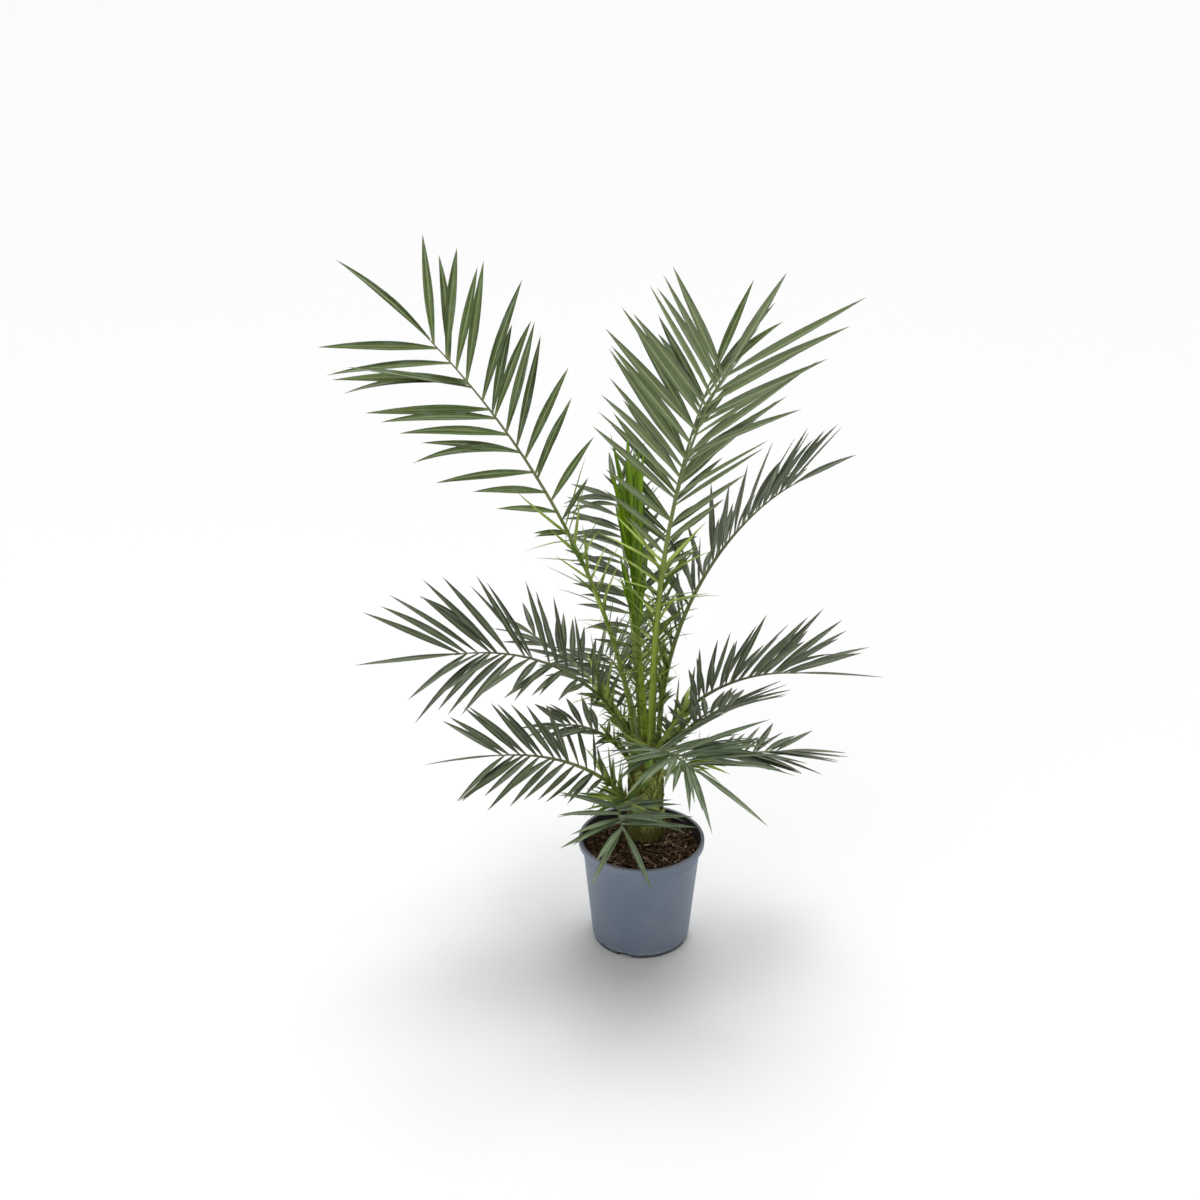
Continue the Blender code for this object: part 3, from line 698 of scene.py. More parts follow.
class Pattern:
    """Small shapes, one unit long and wide, that growers repeat. Each is removed after use."""

    def __init__(self) -> None:
        """Start with no shape made."""
        self.made: list[bpy.types.Object] = []

    def _keep(self, made: bpy.types.Object) -> bpy.types.Object:
        """Remember a shape and return it."""
        Piece.outward(made)
        self.made.append(made)
        return made

    def leaflet(self, stations: int, widest: float, root: float) -> bpy.types.Object:
        """Make a folded blade: narrow at its root, widest part way up and sharp at its tip.

        Args:
            stations: The number of sections along it.
            widest: The share of the length where it is widest.
            root: Its width at the root, as a share of the greatest.

        Returns:
            A closed mesh that knows its place along and across, and its underside.
        """
        spans = ((-0.5, 0.0), (-0.27, 0.0), (0.0, 0.0), (0.27, 0.0), (0.5, 0.0),
                 (0.27, 0.20), (0.0, 0.48), (-0.27, 0.20))
        verts = []
        along = []
        across = []
        for share in np.linspace(0.0, 1.0, stations)[:-1]:
            climb = math.sin(math.pi / 2 * min(share / widest, 1.0)) ** 1.2
            close = 1 - max(0.0, (share - widest) / (1 - widest)) ** 1.7
            width = (root + (1 - root) * climb) * close
            fold = 1 + 1.2 * (1 - share) ** 4
            for side, thick in spans:
                verts.append((share, side * width, abs(side) * 2 * width * fold - thick * (0.35 + 0.65 * width)))
                along.append(share)
                across.append(side * 2)
        sides = len(spans)
        verts.append((1.0, 0.0, 0.0))
        last = len(verts) - 1
        faces = [tuple(reversed(range(sides)))]
        under = [0.5]
        for row, col in itertools.product(range(stations - 1), range(sides)):
            here = sides * row + col
            after = sides * row + (col + 1) % sides
            above = (after + sides, here + sides) if row < stations - 2 else (last,)
            faces.append((here, after, *above))
            under.append(1.0 if col >= 4 else 0.0)
        made = self._keep(Piece.mesh("leaflet_pattern", verts, faces))
        Piece.store(made, "along", np.array(along + [1.0]))
        Piece.store(made, "across", np.array(across + [0.0]))
        Piece.store(made, "under", np.array(under), "FACE")
        return made

    def spike(self, sides: int, rings: Sequence[tuple[float, float]]) -> bpy.types.Object:
        """Make a pointed stalk from (place along, width) rings."""
        verts = [(share, width / 2 * math.cos(2 * math.pi * col / sides),
                  width / 2 * math.sin(2 * math.pi * col / sides))
                 for share, width in rings for col in range(sides)]
        verts.append((1.0, 0.0, 0.0))
        faces = [tuple(range(sides))]
        for row, col in itertools.product(range(len(rings)), range(sides)):
            here = sides * row + col
            after = sides * row + (col + 1) % sides
            above = (after + sides, here + sides) if row < len(rings) - 1 else (len(verts) - 1,)
            faces.append((here, after, *above))
        made = self._keep(Piece.mesh("spike_pattern", verts, faces))
        Piece.store(made, "along", np.array([vert[0] for vert in verts]))
        return made

    def lump(self, seed: int, rough: float, subdivisions: int = 1) -> bpy.types.Object:
        """Make an uneven grain about one unit across."""
        work = bmesh.new()
        bmesh.ops.create_icosphere(work, subdivisions=subdivisions, radius=0.5)
        dice = np.random.RandomState(seed)
        for vert in work.verts:
            vert.co *= 1 + rough * dice.uniform(-1, 1)
        mesh = bpy.data.meshes.new("lump_pattern")
        work.to_mesh(mesh)
        work.free()
        made = bpy.data.objects.new("lump_pattern", mesh)
        bpy.context.scene.collection.objects.link(made)
        return self._keep(made)

    def clear(self) -> None:
        """Remove every shape made."""
        for made in self.made:
            mesh = made.data
            bpy.data.objects.remove(made, do_unlink=True)
            bpy.data.meshes.remove(mesh)
        self.made.clear()


@dataclass
class Pot:
    """The turned nursery pot: rolled lip, tapering wall, foot band and drainage notches."""

    lip_depth: float = 0.0116
    lip_bevel: float = 0.0012
    mouth_radius: float = 0.1122
    wall_top: float = 0.1118
    wall_foot: float = 0.0935
    wall: float = 0.0028
    floor: float = 0.0030
    fillet: float = 0.0015
    band_height: float = 0.0105
    band_radius: float = 0.0905
    band_step: float = 0.0010
    edge: float = 0.0010
    ring_drop: float = 0.0185
    ring_depth: float = 0.00035
    steps: int = 176
    notches: int = 4
    first_notch: float = -110.0
    notch_size: tuple[float, float, float] = (0.0270, 0.0085, 0.0060)
    notch_slope: float = 0.62
    overrun: float = 0.0020

    @staticmethod
    def _arc(middle: tuple[float, float], radius: float, start: float, end: float,
             count: int) -> list[tuple[float, float]]:
        """Return points of an arc between two angles in degrees."""
        angles = np.radians(np.linspace(start, end, count))
        return [(middle[0] + radius * math.cos(angle), middle[1] + radius * math.sin(angle))
                for angle in angles]

    def _profile(self, height: float, lip: float) -> list[tuple[float, float]]:
        """Return the outline from the inner floor over the lip to the underside."""
        foot = height - self.lip_depth
        inner = self.wall_foot - self.wall - self.band_step
        slope = (self.wall_top - self.wall_foot) / (foot - self.fillet - self.band_height)
        ring = foot - self.ring_drop
        ring_radius = self.wall_top - slope * (foot - self.fillet - ring)
        half = self.fillet / 2
        return [
            (0.0, self.floor),
            (inner - self.fillet, self.floor),
            (inner, self.floor + self.fillet),
            (self.wall_top - self.wall, foot - 0.002),
            (self.mouth_radius, foot + 0.0035),
            *self._arc((self.mouth_radius + self.lip_bevel, height - self.lip_bevel), self.lip_bevel, 180, 90, 5),
            *self._arc((lip - self.lip_bevel, height - self.lip_bevel), self.lip_bevel, 90, 0, 5),
            *self._arc((lip - half, foot + half), half, 0, -90, 4),
            *self._arc((self.wall_top + self.fillet, foot - self.fillet), self.fillet, 90, 180, 5),
            (ring_radius + 0.0001, ring + self.fillet),
            (ring_radius + self.ring_depth, ring + half),
            (ring_radius + self.ring_depth, ring - half),
            (ring_radius - 0.0001, ring - self.fillet),
            *self._arc((self.wall_foot - self.edge, self.band_height + self.edge), self.edge, 0, -90, 4),
            (self.band_radius + 0.0004, self.edge),
            *self._arc((self.band_radius - self.edge, self.edge), self.edge, -22, -90, 4),
            (0.0, 0.0),
        ]

    def _notch(self, angle: float) -> bpy.types.Object:
        """Return the wedge that cuts one notch out of the foot band."""
        width, height, depth = self.notch_size
        half = width / 2
        outward = np.array([math.cos(angle), math.sin(angle), 0.0])
        across = np.array([-math.sin(angle), math.cos(angle), 0.0])
        up = np.array([0.0, 0.0, 1.0])
        outline = ((-half, -self.overrun), (half, -self.overrun), (half * self.notch_slope, height),
                   (-half, height))
        verts = [outward * (self.band_radius + reach) + across * aside + up * rise
                 for reach in (-depth, depth) for aside, rise in outline]
        faces = [(3, 2, 1, 0), (4, 5, 6, 7), *((col, (col + 1) % 4, (col + 1) % 4 + 4, col + 4)
                                               for col in range(4))]
        notch = Piece.mesh("notch", verts, faces)
        Piece.outward(notch)
        return notch

    def build(self) -> bpy.types.Object:
        """Build and dress the pot.

        Returns:
            The pot.
        """
        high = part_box("pot")[1]
        pot = Piece.mesh("pot_body", *Piece.turned(self._profile(high.z, high.x), self.steps))
        Piece.outward(pot)
        for index in range(self.notches):
            notch = self._notch(math.radians(self.first_notch + 360.0 * index / self.notches))
            cut = pot.modifiers.new("Cut", "BOOLEAN")
            cut.operation = "DIFFERENCE"
            cut.solver = "EXACT"
            cut.object = notch
            Piece.apply(pot)
            bpy.data.objects.remove(notch, do_unlink=True)
        Piece.finish(pot, PotFinish("pot_wall", 0.46), Slot.POT, ("pot",), 32.0)
        return pot


@dataclass
class Soil:
    """Dark peat with crumbs, bark chips, perlite, pale root threads and moss at the trunk."""

    trunk: tuple[float, float]
    top: float = 0.1985
    edge_drop: float = 0.0035
    margin: float = 0.0004
    depth: float = 0.030
    rings: int = 58
    steps: int = 170
    relief: float = 0.0024
    mound: float = 0.0040
    crumbs: int = 2300
    chips: int = 90
    perlite: int = 46
    roots: int = 24
    moss: int = 520
    radius: float = 0.1

    def height(self, x: float, y: float) -> float:
        """Return the height of the soil's surface at a place."""
        away = math.hypot(x, y) / self.radius
        near = math.hypot(x - self.trunk[0], y - self.trunk[1])
        lumps = noise.fractal(Vector((x, y, 0.0)) * 42, 0.8, 2.1, 4)
        grit = noise.fractal(Vector((x, y, 0.3)) * 170, 0.9, 2.0, 2)
        calm = 1 - max(0.0, (away - 0.93) / 0.07)
        mound = self.mound * math.exp(-((near - 0.038) / 0.016) ** 2)
        return (self.top - self.edge_drop * away ** 6 + mound
                + self.relief * (lumps * 0.55 + grit * 0.35) * calm)

    def _surface(self) -> bpy.types.Object:
        """Return the soil's body: an uneven top over a plain side and base."""
        verts = [(0.0, 0.0, self.height(0.0, 0.0))]
        for ring in range(1, self.rings + 1):
            away = self.radius * (ring / self.rings) ** 0.9
            for col in range(self.steps):
                angle = 2 * math.pi * (col + 0.5 * (ring % 2)) / self.steps
                x = away * math.cos(angle)
                y = away * math.sin(angle)
                verts.append((x, y, self.height(x, y)))
        for radius, drop in ((self.radius, 0.008), (self.radius - 0.004, self.depth)):
            verts += [(radius * math.cos(2 * math.pi * col / self.steps),
                       radius * math.sin(2 * math.pi * col / self.steps), self.top - drop)
                      for col in range(self.steps)]
        faces = [(0, 1 + col, 1 + (col + 1) % self.steps) for col in range(self.steps)]
        for ring, col in itertools.product(range(self.rings + 1), range(self.steps)):
            here = 1 + ring * self.steps
            after = (col + 1) % self.steps
            faces.append((here + col, here + self.steps + col, here + self.steps + after, here + after))
        last = 1 + (self.rings + 1) * self.steps
        faces.append(tuple(last + col for col in reversed(range(self.steps))))
        body = Piece.mesh("soil_body", verts, faces)
        Piece.outward(body)
        return body

    def _scatter(self, name: str, seed: int, count: int, sizes: Sequence[tuple[float, float]],
                 sunk: float, near_trunk: bool = False, upright: bool = False) -> bpy.types.Object:
        """Return points on the soil.

        Args:
            name: The object's name.
            seed: What sets the dice.
            count: The number of points.
            sizes: The least and greatest length, width and depth.
            sunk: How deep each lies, as a share of its depth.
            near_trunk: Whether they crowd round the trunk.
            upright: Whether they stand up.

        Returns:
            Points that a grower can use.
        """
        dice = np.random.RandomState(seed)
        away = self.radius * 0.975 * np.sqrt(dice.uniform(0, 1, count))
        angle = dice.uniform(0, 2 * math.pi, count)
        middle = np.zeros(2)
        if near_trunk:
            away = 0.037 + 0.036 * dice.uniform(0, 1, count) ** 1.6
            middle = np.array(self.trunk)
        flat = middle + np.stack([away * np.cos(angle), away * np.sin(angle)], axis=1)
        size = np.stack([dice.uniform(*span, count) for span in sizes], axis=1)
        heights = np.array([self.height(x, y) for x, y in flat])
        roots = np.column_stack([flat, heights + size[:, 2] * (0.5 - sunk)])
        aim = dice.normal(0, 1, (count, 3)) * (1.0, 1.0, 0.22)
        if upright:
            aim = dice.normal(0, 1, (count, 3)) * (0.5, 0.5, 0.1) + (0.0, 0.0, 1.0)
        points = Piece.mesh(name, roots)
        Piece.store(points, "aim", unit(aim))
        Piece.store(points, "face", unit(dice.normal(0, 1, (count, 3)) * (1.0, 1.0, 0.3)))
        Piece.store(points, "size", size)
        Piece.store(points, "tone", dice.uniform(0, 1, count))
        return points

    def _root_lines(self) -> bpy.types.Object:
        """Return the chains that root threads follow over the soil."""
        dice = np.random.RandomState(77)
        verts = []
        edges = []
        thickness = []
        for _ in range(self.roots):
            away = self.radius * dice.uniform(0.35, 0.86)
            angle = dice.uniform(0, 2 * math.pi)
            heading = dice.uniform(0, 2 * math.pi)
            x = away * math.cos(angle)
            y = away * math.sin(angle)
            count = dice.randint(9, 17)
            start = len(verts)
            for step in range(count):
                share = step / (count - 1)
                lift = 0.0009 + 0.0022 * math.sin(math.pi * share) * dice.uniform(0.4, 1.0)
                verts.append((x, y, self.height(x, y) + lift))
                thickness.append(1 - 0.75 * share)
                heading += dice.normal(0, 0.28)
                if math.hypot(x, y) > self.radius * 0.9:
                    heading = math.atan2(-y, -x)
                x += 0.0029 * math.cos(heading)
                y += 0.0029 * math.sin(heading)
            edges += [(start + step, start + step + 1) for step in range(count - 1)]
        lines = Piece.mesh("root_threads", verts, edges=edges)
        Piece.store(lines, "thickness", np.array(thickness))
        return lines

    def build(self, patterns: Pattern) -> None:
        """Build and dress the soil and what lies on it.

        Args:
            patterns: The maker of repeated shapes.
        """
        self.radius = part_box("soil")[1].x - self.margin
        body = self._surface()
        Piece.finish(body, SpeckledFinish("peat", 0.95, 0.05), Slot.SOIL, ("soil",), 60.0)
        sprouts = Grower("scattered").sprouts()
        crumb = patterns.lump(5, 0.28)
        grain = patterns.lump(6, 0.16, 2)
        sliver = patterns.spike(5, ((0.0, 0.55), (0.12, 1.0), (0.75, 0.9)))
        tuft = patterns.spike(3, ((0.0, 1.0), (0.55, 0.7)))
        kinds = (
            ("soil_crumbs", 11, self.crumbs, ((0.0018, 0.0062),) * 3, 0.25, crumb,
             SpeckledFinish("peat_crumbs", 0.95, 0.05, deep=shade("0a0604"), light=shade("866a52")), {}),
            ("bark_chips", 12, self.chips, ((0.006, 0.017), (0.0022, 0.0045), (0.0012, 0.0024)), 0.1, sliver,
             TonedFinish("bark_chip", 0.8, 0.3, deep=shade("4a3626"), light=shade("c6aa8e")), {}),
            ("perlite_grains", 13, self.perlite, ((0.0016, 0.0036),) * 3, 0.2, grain,
             TonedFinish("perlite", 0.85, 0.3, deep=shade("b9b4a8"), light=shade("e6e3da")), {}),
            ("moss_tufts", 14, self.moss, ((0.002, 0.0055), (0.0008, 0.0016), (0.0008, 0.0016)), 0.5, tuft,
             TonedFinish("moss", 0.85, 0.3, deep=shade("303b14"), light=shade("7c8b3a")),
             {"near_trunk": True, "upright": True}),
        )
        for name, seed, count, sizes, sunk, pattern, finish, options in kinds:
            points = self._scatter(name, seed, count, sizes, sunk, **options)
            piece = sprouts.grow(points, finish, Pattern=pattern)
            Piece.finish(piece, finish, Slot.SOIL, (), 70.0)
        roots = TonedFinish("root_thread", 0.7, 0.3, deep=shade("9c846c"), light=shade("dcc6b0"))
        threads = Grower("root_lines").threads(5).grow(self._root_lines(), roots, Radius=0.00095)
        Piece.finish(threads, roots, Slot.SOIL, ())


@dataclass
class Trunk:
    """The short trunk: a tapering core of old leaf bases, bound by crossing fibres."""

    axis: tuple[float, float] = (0.008, 0.035)
    foot: float = 0.1988
    rings: tuple[tuple[float, float], ...] = (
        (0.000, 0.0380), (0.010, 0.0345), (0.030, 0.0320), (0.060, 0.0315), (0.095, 0.0320),
        (0.125, 0.0320), (0.150, 0.0310), (0.172, 0.0280), (0.192, 0.0220), (0.205, 0.0130))
    sides: int = 110
    rows: int = 84
    relief: float = 0.0022
    spirals: tuple[int, int] = (5, 8)
    pitch: float = 0.062
    fibres: int = 430
    bases: int = 30

    def radius(self, height: float) -> float:
        """Return the trunk's radius at a height above its foot."""
        return float(np.interp(height, *zip(*self.rings)))

    def _rise(self, angle: float, height: float) -> float:
        """Return how far old leaf bases stand out at a place, from 0 to 1."""
        turn = angle / (2 * math.pi)
        first = abs(math.sin(math.pi * (self.spirals[0] * turn + height / self.pitch)))
        second = abs(math.sin(math.pi * (self.spirals[1] * turn - height / self.pitch * 1.6)))
        return (first * second) ** 0.55

    def _core(self) -> bpy.types.Object:
        """Return the core with its relief."""
        top = self.rings[-1][0]
        verts = []
        rise = []
        for row in range(self.rows):
            height = top * row / (self.rows - 1)
            for col in range(self.sides):
                angle = 2 * math.pi * col / self.sides
                stand = self._rise(angle, height)
                spot = Vector((math.cos(angle), math.sin(angle), height * 18))
                rough = noise.fractal(spot * 3.2, 0.8, 2.0, 4)
                reach = self.radius(height) - 0.0018 + self.relief * (stand * 0.8 + rough * 0.3)
                verts.append((self.axis[0] + reach * math.cos(angle),
                              self.axis[1] + reach * math.sin(angle), self.foot + height - 0.004 * (row == 0)))
                # rise also sets how much painted shade the bark gets in its crevices.
                rise.append(min(1.0, max(0.0, stand * 0.8 + rough * 0.4)))
        faces = [tuple(reversed(range(self.sides))),
                 tuple((self.rows - 1) * self.sides + col for col in range(self.sides))]
        for row, col in itertools.product(range(self.rows - 1), range(self.sides)):
            here = row * self.sides
            after = (col + 1) % self.sides
            faces.append((here + col, here + after, here + self.sides + after, here + self.sides + col))
        core = Piece.mesh("trunk_core", verts, faces)
        Piece.outward(core)
        Piece.store(core, "rise", np.array(rise))
        return core

    def _fibre_lines(self) -> bpy.types.Object:
        """Return the chains that crossing fibres follow round the trunk."""
        dice = np.random.RandomState(21)
        verts = []
        edges = []
        thickness = []
        for index in range(self.fibres):
            angle = dice.uniform(0, 2 * math.pi)
            height = dice.uniform(0.0, 0.165)
            length = dice.uniform(0.030, 0.075)
            slope = math.radians(dice.uniform(38, 74)) * (1 if index % 2 else -1)
            count = 9
            start = len(verts)
            for step in range(count):
                share = step / (count - 1)
                level = min(height + length * share * math.sin(abs(slope)), self.rings[-1][0] - 0.006)
                lean = 0.0006 + 0.0022 * math.sin(math.pi * share) * dice.uniform(0.3, 1.0)
                reach = self.radius(level) + lean
                turn = angle + math.copysign(length * share * math.cos(slope), slope) / reach
                verts.append((self.axis[0] + reach * math.cos(turn), self.axis[1] + reach * math.sin(turn),
                              self.foot + level))
                thickness.append(0.45 + 0.75 * math.sin(math.pi * (0.15 + 0.8 * share)))
            edges += [(start + step, start + step + 1) for step in range(count - 1)]
        lines = Piece.mesh("trunk_fibres", verts, edges=edges)
        Piece.store(lines, "thickness", np.array(thickness))
        return lines

    def _base_points(self) -> bpy.types.Object:
        """Return the points where broken leaf bases cling, each turned a golden angle further."""
        dice = np.random.RandomState(33)
        roots = []
        aim = []
        face = []
        size = []
        for index in range(self.bases):
            angle = index * GOLDEN_ANGLE
            height = 0.004 + 0.128 * index / self.bases
            reach = self.radius(height) - 0.0035
            outward = np.array([math.cos(angle), math.sin(angle), 0.0])
            roots.append((self.axis[0] + reach * outward[0], self.axis[1] + reach * outward[1],
                          self.foot + height))
            aim.append(outward * dice.uniform(0.10, 0.24) + (0.0, 0.0, 1.0))
            face.append((-math.sin(angle), math.cos(angle), 0.0))
            size.append((dice.uniform(0.030, 0.050), dice.uniform(0.022, 0.030), 0.0042))
        points = Piece.mesh("trunk_leaf_bases", roots)
        Piece.store(points, "aim", unit(np.array(aim)))
        Piece.store(points, "face", np.array(face))
        Piece.store(points, "size", np.array(size))
        # Each broken leaf base gets its own rise, which darkens it by a random amount through the bark's painted
        # crevice shade.
        Piece.store(points, "rise", dice.uniform(0.45, 1.0, self.bases))
        return points

    def build(self, patterns: Pattern) -> None:
        """Build and dress the trunk.

        Args:
            patterns: The maker of repeated shapes.
        """
        bark = BarkFinish("trunk_bark", 0.85, 0.3)
        Piece.finish(self._core(), bark, Slot.TRUNK, ("trunk",), 50.0)
        shield = patterns.spike(8, ((0.0, 0.8), (0.30, 1.0), (0.70, 0.82), (0.90, 0.45)))
        bases = Grower("leaf_bases").sprouts().grow(self._base_points(), bark, Pattern=shield)
        Piece.finish(bases, bark, Slot.TRUNK, (), 50.0)
        hair = TonedFinish("trunk_hair", 0.8, 0.3, deep=shade("5a6024"), light=shade("a8aa5e"))
        fibres = Grower("trunk_lines").threads(4).grow(self._fibre_lines(), hair, Radius=0.00055)
        Piece.finish(fibres, hair, Slot.TRUNK, ())


class Kind(Enum):
    """What sort of frond one is."""

    YOUNG = "young"
    OLD = "old"
    FRONT = "front"
    SPEAR = "spear"


@dataclass(frozen=True)
class Build:
    """What the leaves of one kind share.

    They are the leaflet's width, its angles to the rib, the foot's depth in the trunk and the
    length of rib for each pair, up to which finer leaflets fill the spaces between the source's.
    """

    width: float
    spread_foot: float
    spread_tip: float
    foot_depth: float = 0.004
    spacing: float = 0.029


BUILDS = {
    Kind.SPEAR: Build(0.013, 9, 5, 0.011, 0.012),
    Kind.YOUNG: Build(0.018, 58, 44),
    Kind.OLD: Build(0.013, 64, 34, spacing=0.018),
    Kind.FRONT: Build(0.013, 85, 42, spacing=0.008),
}


@dataclass(frozen=True)
class Habit:
    """What every frond has in common."""

    trunk: Trunk = field(default_factory=Trunk)
    steps: int = 48
    sweep_power: float = 1.5
    foot_half_width: float = 0.0065
    tip_half_width: float = 0.0014
    taper: float = 1.1
    depth_share: float = 0.75
    stations: int = 44
    sheath_share: float = 0.07
    sheath: float = 0.0035
    place_jitter: float = 0.30
    place_end: float = 0.1
    place_power: float = 0.85
    spread_jitter: float = 6.0
    row_jitter: float = 12.0
    length_jitter: float = 0.10
    droop_jitter: float = 0.5
    twist_jitter: float = 25.0
    end_spread: float = 3.0
    last_root: float = 0.985
    lengths: tuple[tuple[float, float], ...] = (
        (0.0, 0.30), (0.15, 0.62), (0.40, 0.90), (0.70, 1.0), (1.0, 1.0))
    fold: float = 0.17
    filler_seed: int = 50
    spray_seed: int = 122
    filler_droop: float = 0.08
    spines: int = 22
    spine_shares: tuple[float, float] = (0.12, 1.06)
    # As shares of the leaflets' length
    spine_lengths: tuple[float, float] = (0.14, 0.66)
    spine_widths: tuple[float, float] = (0.0036, 0.0088)
    clearance: float = 0.001
    # Turns tried for a leaflet that would meet a limb: degrees of roll and of spread, share of length
    nudges: tuple[tuple[float, float, float], ...] = (
        (0, 0, 1.0), (9, 0, 1.0), (-9, 0, 1.0), (0, 9, 1.0), (0, -9, 1.0), (16, 5, 1.0), (-16, -5, 1.0),
        (16, -8, 0.9), (-16, 8, 0.9), (26, 0, 0.9), (-26, 0, 0.9), (12, 14, 0.8), (-12, -14, 0.8),
        (0, 0, 0.7), (20, 0, 0.6), (-20, 0, 0.6), (0, 0, 0.45))


@dataclass(frozen=True)
class Frond:
    """One frond: where it grows, how its rib bends, and what its leaflets are like.

    Angles are in degrees: azimuth, climb at the foot and at the tip, sideways sweep, lift of both
    rows and roll of the whole blade.
    """

    name: str
    kind: Kind
    azimuth: float
    foot_height: float
    length: float
    rise: float
    fall: float
    bend: float
    sweep: float
    petiole: float
    pairs: int
    blade: float
    lift: float
    roll: float
    droop: float
    seed: int

    def path(self, habit: Habit) -> tuple[np.ndarray, np.ndarray, np.ndarray, np.ndarray]:
        """Return points, directions, sideways and upward axes along the rib, from foot to tip."""
        middles = (np.arange(habit.steps) + 0.5) / habit.steps
        climb = np.radians(self.rise + (self.fall - self.rise) * middles ** self.bend)
        turn = np.radians(self.azimuth + self.sweep * middles ** habit.sweep_power)
        step = np.stack([np.cos(climb) * np.cos(turn), np.cos(climb) * np.sin(turn), np.sin(climb)], axis=1)
        heading = math.radians(self.azimuth)
        trunk = habit.trunk
        out = trunk.radius(self.foot_height - trunk.foot) - BUILDS[self.kind].foot_depth
        foot = np.array([trunk.axis[0] + out * math.cos(heading),
                         trunk.axis[1] + out * math.sin(heading), self.foot_height])
        points = np.vstack([foot, foot + np.cumsum(step, axis=0) * self.length / habit.steps])
        along = unit(np.gradient(points, axis=0))
        turn = np.radians(self.azimuth + self.sweep * np.linspace(0, 1, habit.steps + 1) ** habit.sweep_power)
        side = np.stack([np.sin(turn), -np.cos(turn), np.zeros_like(turn)], axis=1)
        return points, along, side, np.cross(side, along)

    @staticmethod
    def sample(values: np.ndarray, shares: np.ndarray) -> np.ndarray:
        """Return the values along the rib at those shares of its length."""
        place = np.clip(shares, 0, 1) * (len(values) - 1)
        low = np.minimum(place.astype(int), len(values) - 2)
        part = (place - low)[:, None]
        return values[low] * (1 - part) + values[low + 1] * part

    def leaflets(self, habit: Habit, nudges: np.ndarray) -> dict[str, np.ndarray]:
        """Lay out two rows of leaflets and one at the rib's end.

        Args:
            habit: What every frond has in common.
            nudges: For each leaflet, its turns and its share of length.

        Returns:
            For each leaflet its root, aim, face, size, sag and bow.
        """
        points, along, side, up = self.path(habit)
        count = 2 * self.pairs + 1
        dice = np.random.RandomState(self.seed).uniform(-1, 1, (count, 6))
        place_dice, spread_dice, row_dice, length_dice, droop_dice, twist_dice = dice.T
        hand = np.array([1.0, -1.0] * self.pairs + [0.0])
        pair = np.append(np.repeat(np.arange(self.pairs), 2), self.pairs)
        place = (pair + 0.5 * (hand > 0) + habit.place_jitter * place_dice) / (self.pairs - habit.place_end)
        place[-1] = 1.0
        place = np.clip(place, 0, 1) ** habit.place_power
        share = self.petiole + (habit.last_root - self.petiole) * place
        forward = unit(self.sample(along, share))
        across = self.sample(side, share)
        above = self.sample(up, share)
        build = BUILDS[self.kind]
        spread = build.spread_foot + (build.spread_tip - build.spread_foot) * place
        spread += habit.spread_jitter * spread_dice
        spread[-1] = habit.end_spread
        tilt = self.lift + hand * self.roll + habit.row_jitter * row_dice
        spread = np.radians(spread + nudges[:, 1])[:, None]
        tilt = np.radians(tilt + nudges[:, 0])[:, None]
        sideways = hand[:, None] * np.cos(tilt) * across + np.sin(tilt) * above
        aim = unit(np.cos(spread) * forward + np.sin(spread) * sideways)
        length = self.blade * np.interp(place, *zip(*habit.lengths)) * (1 + habit.length_jitter * length_dice)
        length[-1] = self.blade
        length = length * nudges[:, 2]
        flat = forward - (forward * aim).sum(1)[:, None] * aim
        flat[-1] = across[-1]
        flat = unit(flat)
        over = np.cross(aim, flat)
        sign = np.where((over * above).sum(1) > 0, 1, -1)[:, None]
        twist = np.radians(habit.twist_jitter * twist_dice)[:, None]
        face = np.cos(twist) * flat - np.sin(twist) * sign * over
        width = build.width * np.sqrt(length / length.max())
        return {"root": self.sample(points, share), "aim": aim, "face": face * sign,
                "size": np.stack([length, width, width * habit.fold], axis=1),
                "sag": self.droop * (1 + habit.droop_jitter * droop_dice),
                "bow": 0.06 * spread_dice * place_dice}

    def spines(self, habit: Habit) -> dict[str, np.ndarray]:
        """Lay out the stiff spines along the lower rib, longer towards the first leaflets."""
        points, along, side, up = self.path(habit)
        count = 2 * habit.spines
        dice = np.random.RandomState(self.seed + 1).uniform(-1, 1, (count, 4))
        hand = np.array([1.0, -1.0] * habit.spines)
        climb = (np.repeat(np.arange(habit.spines), 2) + 0.4 * dice[:, 0] + 0.3 * hand) / habit.spines
        climb = np.clip(climb, 0, 1)
        share = self.petiole * (habit.spine_shares[0] + (habit.spine_shares[1] - habit.spine_shares[0]) * climb)
        forward = unit(self.sample(along, share))
        spread = np.radians(48 + 20 * dice[:, 1])[:, None]
        tilt = np.radians(16 + hand * self.roll * 0.5 + 38 * dice[:, 2])[:, None]
        sideways = (hand[:, None] * np.cos(tilt) * self.sample(side, share)
                    + np.sin(tilt) * self.sample(up, share))
        aim = unit(np.cos(spread) * forward + np.sin(spread) * sideways)
        length = self.blade * np.interp(climb ** 1.2, (0, 1), habit.spine_lengths)
        length = length * (1 + 0.25 * dice[:, 3])
        width = np.interp(climb, (0, 1), habit.spine_widths)
        return {"root": self.sample(points, share), "aim": aim, "face": unit(np.cross(aim, forward)),
                "size": np.stack([length, width, width * 0.3], axis=1),
                "sag": 0.12 * (1 + dice[:, 0]), "bow": 0.12 * dice[:, 1]}

